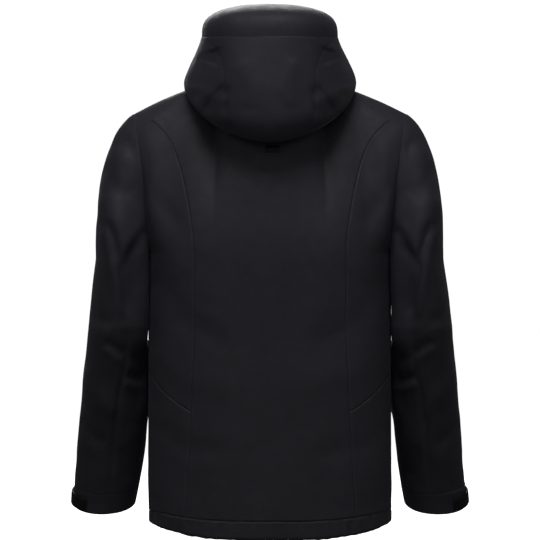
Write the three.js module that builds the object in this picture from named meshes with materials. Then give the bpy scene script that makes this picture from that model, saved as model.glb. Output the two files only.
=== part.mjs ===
// Hooded hardshell jacket, worn upright with the hood up, as cut panels, trims, zips and adjusters.
// Millimetres, +Z up, the wearer faces -Y, +X is the wearer's left.
// The origin is the centre back of the neck seam.
import * as THREE from 'three';
import { mergeVertices } from 'three/addons/utils/BufferGeometryUtils.js';

// ---- driving dimensions -------------------------------------------------------------------------
const backLength = 764;         // neck seam to hem at the centre back
const sideRise = 47;            // how much higher the hem lies at the side seam
const frontRise = 62;           // and at the centre front
const chestHalfWidth = 210.7;
const chestBack = 54;           // centre back of the chest, behind the origin
const sideSeamY = -75;
const underarmZ = -270;
const shoulderTip = [238, -75, -30];
const shoulderMid = [166, -72, 8];
const zipTop = [-160, 30];      // y and z of the centre front line at the collar's top edge
const zipSlope = 0.09;          // how far that line leans forward per millimetre down
const neckShare = 0.25;         // share of a panel's width that ends at the neck
const yokeSeam = 0.83;          // how far up the upper body the yoke begins

const neckHalfWidth = 88;
const neckSideZ = 30;
const neckFrontZ = -58;
const collarHeight = 76;

const hoodHalfWidth = 122;      // at the crown seam
const hoodRollHalfWidth = 149;  // at the roll that lies on the shoulders
const hoodRollZ = 23;
const hoodPouchZ = -83;
const hoodPouchY = 72;
const hoodBackY = 82;
const crownSeamZ = 98;
const crownFrontZ = 116;
const crownTopZ = 159;
const hoodMidY = -60;
const hoodFrontY = -188;
const brimReach = 34;

const elbowZ = -400;
const elbowY = -80;
const cuffZ = -711;             // middle of the sleeve's end
const cuffTilt = 18;            // how much lower its back edge lies
const cuffDepth = 42;           // half of its depth
const cuffHeight = 38;
const sleeveRoom = 4.8;         // between the side seam and the sleeve's inner edge
const sleeveWidth = 86.5;       // of the upper arm
const cuffSpread = 44;          // how much further out the cuff reaches than the upper arm
const forearmLean = 0.24;       // how far the forearm runs forward per millimetre down
const elbowRoom = [8, 74];      // half of the elbow panel's height, at the back and at the front
const tabHeight = 22;

const fabric = 2;               // laminate with its lining
const seamGap = 0.8;            // between two sewn panels
const layerGap = 0.4;           // between two layers that lie on each other
const facetRoom = 1.4;          // to a curved panel, which is flat between its corners
const zipGap = 3.6;             // between the two tapes, where the slider's post runs
const zipTapeWidth = 9;
const zipTapeThickness = 1.6;
const hemFold = 11;             // how deep the hem's fold is
const hemHeight = [33, 22];     // at the centre back, and at the sides and front
const drawcordDiameter = 2.8;

const pocketColumn = 0.6;       // where the pocket zip stands across the front panel
const pocketRise = 344;         // from the hem at the centre back up to the pocket zip's top
const pocketLength = 165;

// ---- materials ----------------------------------------------------------------------------------
const paint = (color, roughness, metalness = 0) =>
  new THREE.MeshStandardMaterial({ color, roughness, metalness });
const shellCloth = paint('#222126', 0.85);
const trimCloth = paint('#17161a', 0.9);
const liningCloth = paint('#1b1b20', 0.8);
const tapeCloth = paint('#0c0c10', 0.7);
const hardPlastic = paint('#060608', 0.45);
const metal = paint('#2b2b2f', 0.4, 0.7);

const jacket = new THREE.Group();
const add = (name, geometry, material) => {
  const mesh = new THREE.Mesh(geometry, material);
  mesh.name = name;
  jacket.add(mesh);
  return mesh;
};

// ---- helpers ------------------------------------------------------------------------------------
const vec = (x, y, z) => new THREE.Vector3(x, y, z);
const mix = THREE.MathUtils.lerp;
const clamp = THREE.MathUtils.clamp;
const smooth = (a, b, x) => THREE.MathUtils.smoothstep(x, a, b);
const rad = THREE.MathUtils.degToRad;
const bent = (x, power) => Math.sign(x) * Math.abs(x) ** power;

function hermite(start, startPull, end, endPull, s) {
  const s2 = s * s;
  const s3 = s2 * s;
  return vec(0, 0, 0)
    .addScaledVector(start, 2 * s3 - 3 * s2 + 1)
    .addScaledVector(startPull, s3 - 2 * s2 + s)
    .addScaledVector(end, 3 * s2 - 2 * s3)
    .addScaledVector(endPull, s3 - s2);
}

// The normal of surface(u, v); side is 1 or -1 and turns it outwards.
function normalAt(surface, u, v, side) {
  const step = 1e-3;
  const u0 = Math.max(u - step, 0);
  const v0 = Math.max(v - step, 0);
  const along = surface(Math.min(u0 + 2 * step, 1), v).sub(surface(u0, v));
  const up = surface(u, Math.min(v0 + 2 * step, 1)).sub(surface(u, v0));
  return along.cross(up).normalize().multiplyScalar(side);
}

// The direction from an edge of surface(u, v) into it, across u or along v.
function inward(surface, u, v, acrossU, alongV) {
  const step = 1e-3 * ((acrossU ? u : v) < 0.5 ? 1 : -1);
  return surface(u + acrossU * step, v + alongV * step).sub(surface(u, v)).normalize();
}

// A thin closed solid on surface(u, v): its outer face, its inner face one thickness in, and rims.
// trim takes that much off each open edge, lift(u) raises the sheet off the surface, a tube closes on
// itself across u, a dome closes to a point at v = 1, and columns and rows name the values of u and
// v that it uses.
function sheet(surface, nu, nv, options = {}) {
  const { side = 1, thickness = fabric, lift = () => 0, tube = false, dome = false } = options;
  const { trim = seamGap / 2, rows = null, columns = null } = options;
  const positions = [];
  const triangles = [];
  const width = tube ? nu : nu + 1;
  for (let layer = 0; layer < 2; layer++) {
    for (let j = 0; j <= nv; j++) {
      for (let i = 0; i < width; i++) {
        const u = columns ? columns[i] : i / nu;
        const v = rows ? rows[j] : j / nv;
        const tip = dome && j === nv;
        const normal = tip ? vec(0, 0, 1) : normalAt(surface, u, v, side);
        const p = surface(u, v).addScaledVector(normal, lift(u) - layer * thickness);
        if (!tube && (i === 0 || i === nu)) p.addScaledVector(inward(surface, u, v, 1, 0), trim);
        if (!tip && (j === 0 || j === nv)) p.addScaledVector(inward(surface, u, v, 0, 1), trim);
        positions.push(p.x, p.y, p.z);
      }
    }
  }
  const at = (layer, i, j) => layer * width * (nv + 1) + j * width + (i % width);
  const quad = (a, b, c, d) => triangles.push(a, b, c, a, c, d);
  for (let j = 0; j < nv; j++) {
    for (let i = 0; i < nu; i++) {
      quad(at(0, i, j), at(0, i + 1, j), at(0, i + 1, j + 1), at(0, i, j + 1));
      quad(at(1, i, j), at(1, i, j + 1), at(1, i + 1, j + 1), at(1, i + 1, j));
    }
  }
  for (let i = 0; i < nu; i++) {
    quad(at(0, i, 0), at(1, i, 0), at(1, i + 1, 0), at(0, i + 1, 0));
    if (!dome) quad(at(0, i, nv), at(0, i + 1, nv), at(1, i + 1, nv), at(1, i, nv));
  }
  if (!tube) {
    for (let j = 0; j < nv; j++) {
      quad(at(0, 0, j), at(0, 0, j + 1), at(1, 0, j + 1), at(1, 0, j));
      quad(at(0, nu, j), at(1, nu, j), at(1, nu, j + 1), at(0, nu, j + 1));
    }
  }
  return solid(positions, triangles);
}

// Joins shared corners, drops triangles without area and turns the faces outwards.
function solid(positions, triangles) {
  const raw = new THREE.BufferGeometry();
  raw.setAttribute('position', new THREE.Float32BufferAttribute(positions, 3));
  raw.setIndex(triangles);
  const geometry = mergeVertices(raw, 1e-3);
  const index = [...geometry.index.array];
  const kept = [];
  for (let k = 0; k < index.length; k += 3) {
    const [a, b, c] = index.slice(k, k + 3);
    if (a !== b && b !== c && c !== a) kept.push(a, b, c);
  }
  const p = geometry.attributes.position;
  const corner = (k) => vec(p.getX(kept[k]), p.getY(kept[k]), p.getZ(kept[k]));
  let volume = 0;
  for (let k = 0; k < kept.length; k += 3) {
    volume += corner(k).dot(corner(k + 1).cross(corner(k + 2)));
  }
  if (volume < 0) kept.reverse();
  geometry.setIndex(kept);
  geometry.computeVertexNormals();
  return geometry;
}

const mirror = (surface, sign) => (u, v) => {
  const p = surface(u, v);
  return vec(sign * p.x, p.y, p.z);
};

// The value of a rising function's input where it reaches target.
function solve(rising, target, low = 0, high = 1) {
  for (let k = 0; k < 30; k++) {
    const middle = (low + high) / 2;
    if (rising(middle) < target) low = middle;
    else high = middle;
  }
  return (low + high) / 2;
}

function box(width, depth, height, x, y, z) {
  const geometry = new THREE.BoxGeometry(width, depth, height);
  geometry.translate(x, y, z);
  return geometry;
}

const sides = [['left', 1], ['right', -1]];

// ---- the body's surface -------------------------------------------------------------------------
// u runs from the centre (0) to the side seam or armhole (1). v runs from the hem band (-1) past the
// underarm (0) to the neck and the shoulder line (1). face is 1 on the back and -1 on the front.
const zipY = (z) => zipTop[0] - zipSlope * (zipTop[1] - z);
const ovalPower = 0.8;

function hemZ(u, face) {
  const across = Math.sin((u * Math.PI) / 2) ** ovalPower;
  const side = -backLength + sideRise;
  if (face > 0) return -backLength + sideRise * across ** 3;
  return side + (frontRise - sideRise) * (1 - across ** 2);
}

const hemTall = (u, face) => mix(
  hemHeight[1], hemHeight[0], face > 0 ? Math.cos((u * Math.PI) / 2) : 0,
);

function lowerBody(u, z, face) {
  const angle = (u * Math.PI) / 2;
  const depth = face > 0 ? chestBack - sideSeamY : zipY(z) - sideSeamY;
  const x = chestHalfWidth * Math.sin(angle) ** ovalPower;
  return vec(x, sideSeamY + depth * Math.max(Math.cos(angle), 0) ** ovalPower, z);
}

// The neck seam, by the angle from the centre back, moved outwards by out.
function neckRing(angle, out = 0) {
  const tilt = -neckFrontZ / 2;
  const level = (neckSideZ - tilt) / 2;
  const dip = (neckSideZ + tilt) / 2;
  const halfDepth = -zipY(neckFrontZ) / 2;
  return vec(
    (neckHalfWidth + out) * Math.sin(angle),
    -halfDepth + (halfDepth + out) * Math.cos(angle),
    level + tilt * Math.cos(angle) - dip * Math.cos(2 * angle),
  );
}

// The neck and then the line along the top of the shoulder.
function topLine(u, face) {
  if (u <= neckShare) {
    const quarter = (Math.PI / 2) * (u / neckShare);
    return neckRing(face > 0 ? quarter : Math.PI - quarter);
  }
  const s = (u - neckShare) / (1 - neckShare);
  const start = neckRing(Math.PI / 2);
  const middle = vec(...shoulderMid);
  const end = vec(...shoulderTip);
  return new THREE.QuadraticBezierCurve3(start, middle, end).getPoint(s);
}

function body(u, v, face) {
  if (v < 0) return lowerBody(u, mix(underarmZ, hemZ(u, face) + hemTall(u, face), -v), face);
  const start = lowerBody(u, underarmZ, face);
  const end = topLine(u, face);
  const rise = end.z - underarmZ;
  const atNeck = smooth(neckShare * 1.8, neckShare * 0.5, u);
  const atArm = smooth(0.5, 1, u);
  const neckPull = face > 0 ? vec(0, -0.37, 0.7) : vec(0, zipSlope, 1);
  const startPull = vec(0, face > 0 ? 0 : zipSlope, 0.95).lerp(vec(-0.02, 0.9 * face, 0.55), atArm);
  const endPull = vec(0, -face * 0.5, 0.04).lerp(neckPull, atNeck).lerp(vec(0.15, -0.9 * face, 0.46), atArm);
  return hermite(start, startPull.multiplyScalar(rise), end, endPull.multiplyScalar(rise), v);
}

// ---- body panels --------------------------------------------------------------------------------
const sideSamples = 6;
const princessX = (v) => (v < 0
  ? chestHalfWidth * (0.62 + 0.11 * Math.max(-v - 0.2, 0) ** 1.5)
  : chestHalfWidth * (0.62 + 0.36 * (v / yokeSeam) ** 1.7));
const princess = (v) => solve((u) => body(u, v, 1).x, princessX(v));
const toTop = (u) => clamp((u - neckShare) / 0.35, 0, 1);
// Both panels at a princess seam have their corners at the same heights.
const slantLow = -0.6;
const upperCount = 11;
const seamHeights = [-1, (slantLow - 1) / 2];
for (let k = 0; k <= upperCount; k++) seamHeights.push(mix(slantLow, yokeSeam, k / upperCount));
const heightShare = (low) => seamHeights.filter((v) => v >= low).map((v) => (v - low) / (yokeSeam - low));

// So have the panels at the yoke seam.
const steps = (from, to, count) => Array.from({ length: count }, (_, k) => mix(from, to, (k + 1) / count));
const neckCount = 6;
const shoulderCount = 4;
const seamTop = princess(yokeSeam);
const centreColumns = [0, ...steps(0, neckShare, neckCount), ...steps(neckShare, seamTop, shoulderCount)];
const topColumns = [...centreColumns, ...steps(seamTop, 1, sideSamples)];
const columnShare = (low) => (
  [0, ...topColumns.filter((u) => u > low + 0.005).map((u) => (u - low) / (1 - low))]
);

// v on a panel whose upper edge follows the neck and then the yoke seam.
const panelV = (u, t) => mix(-1, yokeSeam, t) + (1 - yokeSeam) * (1 - toTop(u)) * smooth(0.5, 1, t);

function backPanel(s, t) {
  const across = 2 * s - 1;
  const seam = mix(-1, yokeSeam, t);
  const u = Math.abs(across) * princess(seam);
  const p = body(u, panelV(Math.abs(across) * princess(yokeSeam), t), 1);
  return vec(Math.sign(across) * p.x, p.y, p.z);
}
const backColumns = [...centreColumns.slice(1).reverse().map((u) => -u), ...centreColumns]
  .map((u) => (1 + u / seamTop) / 2);
add('back_panel', sheet(backPanel, backColumns.length - 1, seamHeights.length - 1, {
  side: -1, columns: backColumns, rows: heightShare(-1),
}), shellCloth);

const slantV = (s) => mix(slantLow, -0.43, s);
const slantedSide = (s, t) => {
  const v = mix(slantV(s), yokeSeam, t);
  return body(mix(princess(v), 1, s), v, 1);
};
const lowerSide = (s, t) => {
  const v = mix(-1, slantV(s), t);
  return body(mix(princess(v), 1, s), v, 1);
};

const frontEdge = zipGap / 2 + zipTapeWidth;
const frontStart = (v) => solve((u) => body(u, v, -1).x, frontEdge, 0, 0.5);
const frontPanel = (s, t) => {
  const u = mix(frontStart(panelV(0, t)), 1, s);
  return body(u, panelV(u, t), -1);
};

const yokeStart = neckShare + 0.03;
const yokeTop = (u) => 1 - (1 - yokeSeam) * toTop(u);
const yoke = (s, t) => {
  const u = mix(yokeStart, 1, s);
  return t < 0.5 ? body(u, mix(yokeTop(u), 1, 2 * t), 1) : body(u, mix(1, yokeTop(u), 2 * t - 1), -1);
};

const frontColumns = columnShare(frontStart(1));
const yokeColumns = columnShare(yokeStart);
for (const [side, sign] of sides) {
  const facing = { side: -sign };
  const slanted = sheet(mirror(slantedSide, sign), sideSamples, upperCount, facing);
  add(`back_side_panel_${side}`, slanted, shellCloth);
  add(`side_panel_${side}`, sheet(mirror(lowerSide, sign), sideSamples, 2, facing), shellCloth);
  add(`front_panel_${side}`, sheet(
    mirror(frontPanel, sign), frontColumns.length - 1, 12, { side: sign, columns: frontColumns },
  ), shellCloth);
  add(`shoulder_yoke_${side}`, sheet(
    mirror(yoke, sign), yokeColumns.length - 1, 6, { ...facing, columns: yokeColumns },
  ), shellCloth);
}

// ---- collar -------------------------------------------------------------------------------------
const collarEnd = Math.PI - Math.asin(frontEdge / neckHalfWidth);
const collarRise = (angle) => mix(collarHeight, zipTop[1] - neckFrontZ, (1 - Math.cos(angle)) / 2);
const collarLean = (angle) => mix(-0.2, zipSlope, (1 - Math.cos(angle)) / 2);
function collarPoint(angle, height) {
  return neckRing(angle).add(vec(0, collarLean(angle) * height, height));
}
const collar = (s, t) => {
  const angle = mix(-collarEnd, collarEnd, s);
  return collarPoint(angle, t * collarRise(angle));
};
const neckStep = Math.PI / 2 / neckCount;
const collarAngles = [];
for (let k = 1 - 2 * neckCount; k < 2 * neckCount; k++) collarAngles.push(k * neckStep);
const collarColumns = [-collarEnd, ...collarAngles, collarEnd].map((angle) => (1 + angle / collarEnd) / 2);
add('collar', sheet(collar, collarColumns.length - 1, 3, { side: -1, columns: collarColumns }), shellCloth);

const guardAngles = [collarAngles.at(-2), collarAngles.at(-1), collarEnd];
const guardHeight = 26;
const chinGuard = (s, t) => {
  const angle = mix(guardAngles[0], collarEnd, s);
  return collarPoint(angle, collarRise(angle) - guardHeight * (1 - t));
};
const insideLift = -(fabric + layerGap);
const guardColumns = guardAngles.map((angle) => (angle - guardAngles[0]) / (collarEnd - guardAngles[0]));
add('chin_guard', sheet(chinGuard, 2, 1, {
  side: -1, thickness: 1.4, lift: () => insideLift, columns: guardColumns,
}), liningCloth);

const loopWidth = 60;
const loopReach = 9;
const loopStrip = 1.6;
const loopZ = [8, 14];
const collarInnerY = (x, z) => collarPoint(Math.asin(x / neckHalfWidth), z).y - fabric;
{
  const half = loopWidth / 2;
  const heel = collarInnerY(half, loopZ[1] - neckRing(Math.asin(half / neckHalfWidth)).z) - facetRoom;
  const outline = new THREE.Shape([
    [-half, heel], [-half, heel - loopReach], [half, heel - loopReach], [half, heel],
    [half - loopStrip, heel], [half - loopStrip, heel - loopReach + loopStrip],
    [loopStrip - half, heel - loopReach + loopStrip], [loopStrip - half, heel],
  ].map(([x, y]) => new THREE.Vector2(x, y)));
  const loop = new THREE.ExtrudeGeometry(outline, { depth: loopZ[1] - loopZ[0], bevelEnabled: false });
  add('hang_loop', loop.translate(0, 0, loopZ[0]), tapeCloth);
}

// ---- hem ----------------------------------------------------------------------------------------
// around runs from the right front edge (-2) over the centre back (0) to the left front edge (2).
function hemPlace(around) {
  const sign = around < 0 ? -1 : 1;
  const face = Math.abs(around) <= 1 ? 1 : -1;
  const start = frontStart(-1);
  const u = face > 0 ? Math.abs(around) : mix(start, 1, 2 - Math.abs(around));
  return { sign, face, u };
}
function hemPoint(around, height) {
  const { sign, face, u } = hemPlace(around);
  const p = lowerBody(u, hemZ(u, face) + height, face);
  return vec(sign * p.x, p.y, p.z);
}
function hemInward(around) {
  const along = hemPoint(Math.min(around + 0.002, 2), 0).sub(hemPoint(Math.max(around - 0.002, -2), 0));
  return vec(along.y, -along.x, 0).normalize();
}

// Around the hem, along the fold: down the outer layer, round the edge and up the inner layer.
const foldRadius = hemFold / 2;
const hemBand = (s, t) => {
  const around = mix(-2, 2, s);
  const { u, face } = hemPlace(around);
  const tall = hemTall(u, face);
  const turn = clamp((t - 0.4) / 0.2, 0, 1) * Math.PI;
  const inset = foldRadius * (1 - Math.cos(turn));
  const height = t < 0.4 ? mix(tall, foldRadius, t / 0.4)
    : t > 0.6 ? mix(foldRadius, tall, (t - 0.6) / 0.4)
      : foldRadius * (1 - Math.sin(turn));
  return hemPoint(around, height).addScaledVector(hemInward(around), inset);
};
const hemAt = (around) => (around + 2) / 4;
const backEdge = [...centreColumns.map((u) => (u / seamTop) * princess(-1)),
  ...steps(princess(-1), 1, sideSamples)];
const halfHem = [...backEdge, ...steps(1, 2, 14)];
const hemColumns = [...halfHem.slice(1).reverse().map((a) => -a), ...halfHem].map(hemAt);
const hemRows = [0, 0.4, 0.44, 0.5, 0.56, 0.6, 1];
add('hem_band', sheet(hemBand, hemColumns.length - 1, hemRows.length - 1, {
  columns: hemColumns, rows: hemRows, thickness: fabric,
}), shellCloth);

const cordRadius = drawcordDiameter / 2;
const cordHeight = fabric + facetRoom + cordRadius;
const cordPath = new THREE.CatmullRomCurve3(steps(-1.97, 1.97, 64).map((around) => (
  hemPoint(around, cordHeight).addScaledVector(hemInward(around), foldRadius)
)));
const cordSection = new THREE.Shape(
  steps(0, 2 * Math.PI, 8).map((a) => new THREE.Vector2(cordRadius * Math.cos(a), cordRadius * Math.sin(a))),
);
add('hem_drawcord', new THREE.ExtrudeGeometry(cordSection, {
  steps: 76, extrudePath: cordPath, bevelEnabled: false,
}), tapeCloth);

// A cord lock inside the front hem, with the sprung plunger that runs in its bore.
const lockPlace = 1.68;
const lockSize = [13, 10, 14];
const plungerRadius = 3.2;
const boreRadius = 3.6;
const plungerRise = 4;
const plungerDepth = 9;
for (const [side, sign] of sides) {
  const out = hemInward(lockPlace).multiplyScalar(hemFold + facetRoom + lockSize[1] / 2);
  const place = hemPoint(lockPlace, 6).add(out);
  const turn = Math.atan2(out.y, out.x) - Math.PI / 2;
  const [width, depth, height] = lockSize;
  const shape = new THREE.Shape([[-1, -1], [1, -1], [1, 1], [-1, 1]].map(
    ([x, y]) => new THREE.Vector2((x * width) / 2, (y * depth) / 2),
  ));
  shape.holes.push(new THREE.Path().absarc(0, 0, boreRadius, 0, 2 * Math.PI, true));
  const body = new THREE.ExtrudeGeometry(shape, { depth: height, bevelEnabled: false, curveSegments: 10 });
  const lock = add(`hem_cord_lock_${side}`, body, hardPlastic);
  lock.position.set(sign * place.x, place.y, place.z);
  lock.rotation.z = sign * turn;
  const length = plungerDepth + plungerRise;
  const plunger = new THREE.CylinderGeometry(plungerRadius, plungerRadius, length, 16);
  plunger.rotateX(Math.PI / 2).translate(0, 0, height + plungerRise - length / 2);
  const button = add(`cord_lock_plunger_${side}`, plunger, hardPlastic);
  button.position.copy(lock.position);
}

// ---- zips ---------------------------------------------------------------------------------------
const sliderPlate = 1.8;
const runGap = 0.35;
const pullGap = 0.8;            // between a slider and the pull that swings in front of it
const pullRim = 0.9;

// A slider that wraps a zip: a front plate, a post between the tapes and a back plate.
function wrapSlider(width, tapeThickness, post, height) {
  const inner = tapeThickness / 2 + runGap;
  const outer = inner + sliderPlate;
  const corners = [
    [post, inner], [width, inner], [width, outer], [-width, outer], [-width, inner], [-post, inner],
    [-post, -inner], [-width, -inner], [-width, -outer], [width, -outer], [width, -inner], [post, -inner],
  ];
  const outline = new THREE.Shape(corners.map(([x, y]) => new THREE.Vector2(x, y)));
  return new THREE.ExtrudeGeometry(outline, { depth: height, bevelEnabled: false });
}

// A pull tab that swings about the top of its eye, where only a thin rim stands above the axis.
function pullTab(width, length, thickness) {
  const half = width / 2;
  const eye = half * 0.4;
  const outline = new THREE.Shape();
  outline.moveTo(-half, -half);
  outline.lineTo(-half * 0.8, -length + half);
  outline.absarc(0, -length + half, half * 0.8, Math.PI, 2 * Math.PI, false);
  outline.lineTo(half, -half);
  outline.lineTo(half * 0.7, pullRim);
  outline.lineTo(-half * 0.7, pullRim);
  outline.holes.push(new THREE.Path().absarc(0, -eye, eye, 0, 2 * Math.PI, true));
  const tab = new THREE.ExtrudeGeometry(outline, { depth: thickness, bevelEnabled: false, curveSegments: 6 });
  return tab.rotateX(Math.PI / 2);
}

// Everything on the main zip stands in its own frame: z up along the zip, -y outwards.
const mainZip = new THREE.Group();
mainZip.rotation.x = -Math.atan(zipSlope);
mainZip.position.set(0, zipTop[0], zipTop[1]);
jacket.add(mainZip);
const alongZip = Math.hypot(1, zipSlope);
const zipLength = (zipTop[1] - (-backLength + frontRise)) * alongZip;
const boxHeight = 10;
const tapeLength = zipLength - boxHeight - layerGap;
const tapeMiddle = zipTapeThickness / 2;
const onZip = (name, geometry, material) => {
  const mesh = new THREE.Mesh(geometry, material);
  mesh.name = name;
  mainZip.add(mesh);
  return mesh;
};
for (const [side, sign] of sides) {
  const x = sign * (zipGap / 2 + zipTapeWidth / 2 - seamGap / 4);
  const width = zipTapeWidth - seamGap / 2;
  const tape = box(width, zipTapeThickness, tapeLength, x, tapeMiddle, -tapeLength / 2);
  onZip(`main_zip_tape_${side}`, tape, tapeCloth);
}
onZip('zip_bottom_box', box(13, 5, boxHeight, 0, tapeMiddle, boxHeight / 2 - zipLength), metal);

const sliderHeight = 15;
const sliderHalf = 5.5;
const sliderTop = -14;
const mainSlider = wrapSlider(sliderHalf, zipTapeThickness, zipGap / 2 - runGap, sliderHeight);
onZip('main_zip_slider', mainSlider.translate(0, tapeMiddle, sliderTop - sliderHeight), metal);
const pullThickness = 1.8;
const mainFront = tapeMiddle - zipTapeThickness / 2 - runGap - sliderPlate - pullGap;
const mainPull = pullTab(9, 36, pullThickness);
onZip('main_zip_pull', mainPull.translate(0, mainFront, sliderTop - 6), hardPlastic);

// The inner flap hangs from the left tape's back, clear of the slider.
const flapClear = zipTapeThickness + runGap + sliderPlate + 1;
const flapThickness = 1.5;
const seat = zipTapeThickness + layerGap;
const tapeOuter = zipGap / 2 + zipTapeWidth - seamGap / 2;
const flapOutline = new THREE.Shape([
  [-14, flapClear], [tapeOuter - 4, flapClear], [tapeOuter - 3.4, seat], [tapeOuter, seat],
  [tapeOuter, seat + flapThickness], [tapeOuter - 2.4, seat + flapThickness],
  [tapeOuter - 2.6, flapClear + flapThickness], [-14, flapClear + flapThickness],
].map(([x, y]) => new THREE.Vector2(x, y)));
const flapLength = tapeLength - hemHeight[1];
const flap = new THREE.ExtrudeGeometry(flapOutline, { depth: flapLength, bevelEnabled: false });
onZip('storm_flap', flap.translate(0, 0, hemHeight[1] - tapeLength), liningCloth);

// ---- hand pockets -------------------------------------------------------------------------------
const tapeWide = 14;
const tapeThick = 1.2;
const pocketTopZ = pocketRise - backLength;
const pocketMiddle = (u, z) => lowerBody(u, z, -1);
const pocketDown = pocketMiddle(pocketColumn, pocketTopZ - 100)
  .sub(pocketMiddle(pocketColumn, pocketTopZ)).normalize();
const pocketAcross = pocketMiddle(pocketColumn + 0.02, pocketTopZ)
  .sub(pocketMiddle(pocketColumn - 0.02, pocketTopZ)).normalize();
const pocketOut = pocketAcross.clone().cross(pocketDown).negate().normalize();
const pocketTop = pocketMiddle(pocketColumn, pocketTopZ);
const pocketSlider = [9, 12, 3];
const pocketPull = [5, 28, 1.4];
const bagColumns = [0.25, 0.72];
const bagFacet = 35;            // the chest's half width for each flat of the bag
const bagZ = [pocketTopZ + 15, pocketTopZ - pocketLength - 33];
const pocketBag = (s, t) => lowerBody(mix(...bagColumns, s), mix(bagZ[1], bagZ[0], t), -1);

for (const [side, sign] of sides) {
  const frame = new THREE.Group();
  const up = pocketDown.clone().negate();
  const across = pocketOut.clone().negate().cross(up);
  const flip = (p) => vec(sign * p.x, p.y, p.z);
  const rightward = flip(across).multiplyScalar(sign);
  frame.matrix.makeBasis(rightward, flip(pocketOut).negate(), flip(up)).setPosition(flip(pocketTop));
  frame.matrix.decompose(frame.position, frame.quaternion, frame.scale);
  jacket.add(frame);
  const onPocket = (name, geometry, material) => {
    const mesh = new THREE.Mesh(geometry, material);
    mesh.name = name;
    frame.add(mesh);
  };
  const tapeY = -layerGap - tapeThick / 2;
  const tape = box(tapeWide, tapeThick, pocketLength, 0, tapeY, -pocketLength / 2);
  onPocket(`pocket_zip_tape_${side}`, tape, tapeCloth);
  const [sliderWide, sliderTall, sliderThick] = pocketSlider;
  const sliderY = -layerGap - tapeThick - runGap - sliderThick / 2;
  const slider = box(sliderWide, sliderThick, sliderTall, 0, sliderY, -sliderTall);
  onPocket(`pocket_zip_slider_${side}`, slider, metal);
  const pull = pullTab(...pocketPull);
  pull.translate(0, sliderY - sliderThick / 2 - pullGap, -sliderTall);
  onPocket(`pocket_zip_pull_${side}`, pull, hardPlastic);
  add(`pocket_bag_${side}`, sheet(mirror(pocketBag, sign), Math.round(chestHalfWidth / bagFacet), 1, {
    side: sign, thickness: 1.6, lift: () => -(fabric + facetRoom),
  }), liningCloth);
}

// ---- sleeves ------------------------------------------------------------------------------------
// turn runs round the sleeve from its outer edge (0) over the back (a quarter) to the inner edge and
// the front. q runs from the armhole (-1) past the underarm (0) to the sleeve's end (1).
const sleeveStartZ = (turn) => -262.5 + 27.5 * Math.cos(turn);
const sleeveEndZ = (turn) => cuffZ - cuffTilt * Math.sin(turn);
const sleeveDepth = (z) => mix(80, cuffDepth, clamp((-290 - z) / (-290 - cuffZ), 0, 1) ** 0.9);
const sleeveMiddleY = (z) => (z > elbowZ
  ? mix(sideSeamY, elbowY, clamp((-290 - z) / (-290 - elbowZ), 0, 1))
  : elbowY - forearmLean * (elbowZ - z));

const sleeveInnerX = chestHalfWidth + sleeveRoom;
const sleeveOuterX = sleeveInnerX + sleeveWidth;
const cuffOuterX = sleeveOuterX + cuffSpread;
function sleeveTube(turn, q) {
  const z = mix(sleeveStartZ(turn), sleeveEndZ(turn), q);
  const below = clamp((-284 - z) / (-284 - cuffZ), 0, 1.1);
  const outer = sleeveOuterX + (cuffOuterX - sleeveOuterX) * below ** 0.85;
  const taper = clamp((-559 - z) / 169, 0, 1.2);
  const inner = sleeveInnerX + 25 * taper ** 1.6;
  const x = (outer + inner) / 2 + ((outer - inner) / 2) * Math.cos(turn);
  return vec(x, sleeveMiddleY(z) + sleeveDepth(z) * Math.sin(turn), z);
}

const armhole = (turn) => (turn <= Math.PI
  ? body(1, 1 - turn / Math.PI, 1)
  : body(1, turn / Math.PI - 1, -1));

function sleevePoint(turn, q) {
  if (q >= 0) return sleeveTube(turn, q);
  const start = armhole(turn);
  const end = sleeveTube(turn, 0);
  const reach = end.distanceTo(start);
  const startPull = vec(0.85, 0, -0.3 - 0.25 * Math.cos(turn)).multiplyScalar(reach * 0.8);
  const endPull = sleeveTube(turn, 0.05).sub(end).normalize().multiplyScalar(reach * 0.9);
  return hermite(start, startPull, end, endPull, q + 1);
}

// q where the sleeve reaches height z at that turn.
const sleeveShare = (turn, z) => (z - sleeveStartZ(turn)) / (sleeveEndZ(turn) - sleeveStartZ(turn));
const backness = (turn) => (1 + Math.sin(turn)) / 2;
const elbowHalf = (turn) => mix(elbowRoom[1], elbowRoom[0], backness(turn));
const elbowTop = (turn) => sleeveShare(turn, elbowZ + elbowHalf(turn));
const elbowLow = (turn) => sleeveShare(turn, elbowZ - elbowHalf(turn));
const cuffTop = (turn) => sleeveShare(turn, sleeveEndZ(turn) + cuffHeight);
const sleevePiece = (from, to) => (u, v) => {
  const turn = 2 * Math.PI * u;
  return sleevePoint(turn, mix(from(turn), to(turn), v));
};
const headStart = () => -0.985;

const sleeveColumns = 18;
const sleevePieces = [
  ['sleeve_head', headStart, () => 0, 6],
  ['upper_sleeve', () => 0, elbowTop, 2],
  ['elbow_panel', elbowTop, elbowLow, 2],
  ['forearm_sleeve', elbowLow, cuffTop, 4],
  ['cuff_band', cuffTop, () => 1, 1],
];

// The cuff tab: sewn at the front end, with a hook patch under its free back end.
const tabTurns = [-1.05, 1];
const hookTurns = [0.15, 0.85];
const patchThick = 0.8;
const hookLift = layerGap + patchThick + layerGap;
const tabPiece = (turns, low, high) => (u, v) => {
  const turn = mix(...turns, u);
  const z = sleeveEndZ(turn) + mix(low, high, v);
  return sleevePoint(turn, sleeveShare(turn, z));
};
const tabLow = 3;
const patchEdge = 3;
const patch = tabPiece(hookTurns, tabLow + patchEdge, tabLow + tabHeight - patchEdge);
const tabLift = (u) => fabric + layerGap + mix(0, hookLift + patchThick, smooth(0, 0.35, u));

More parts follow.
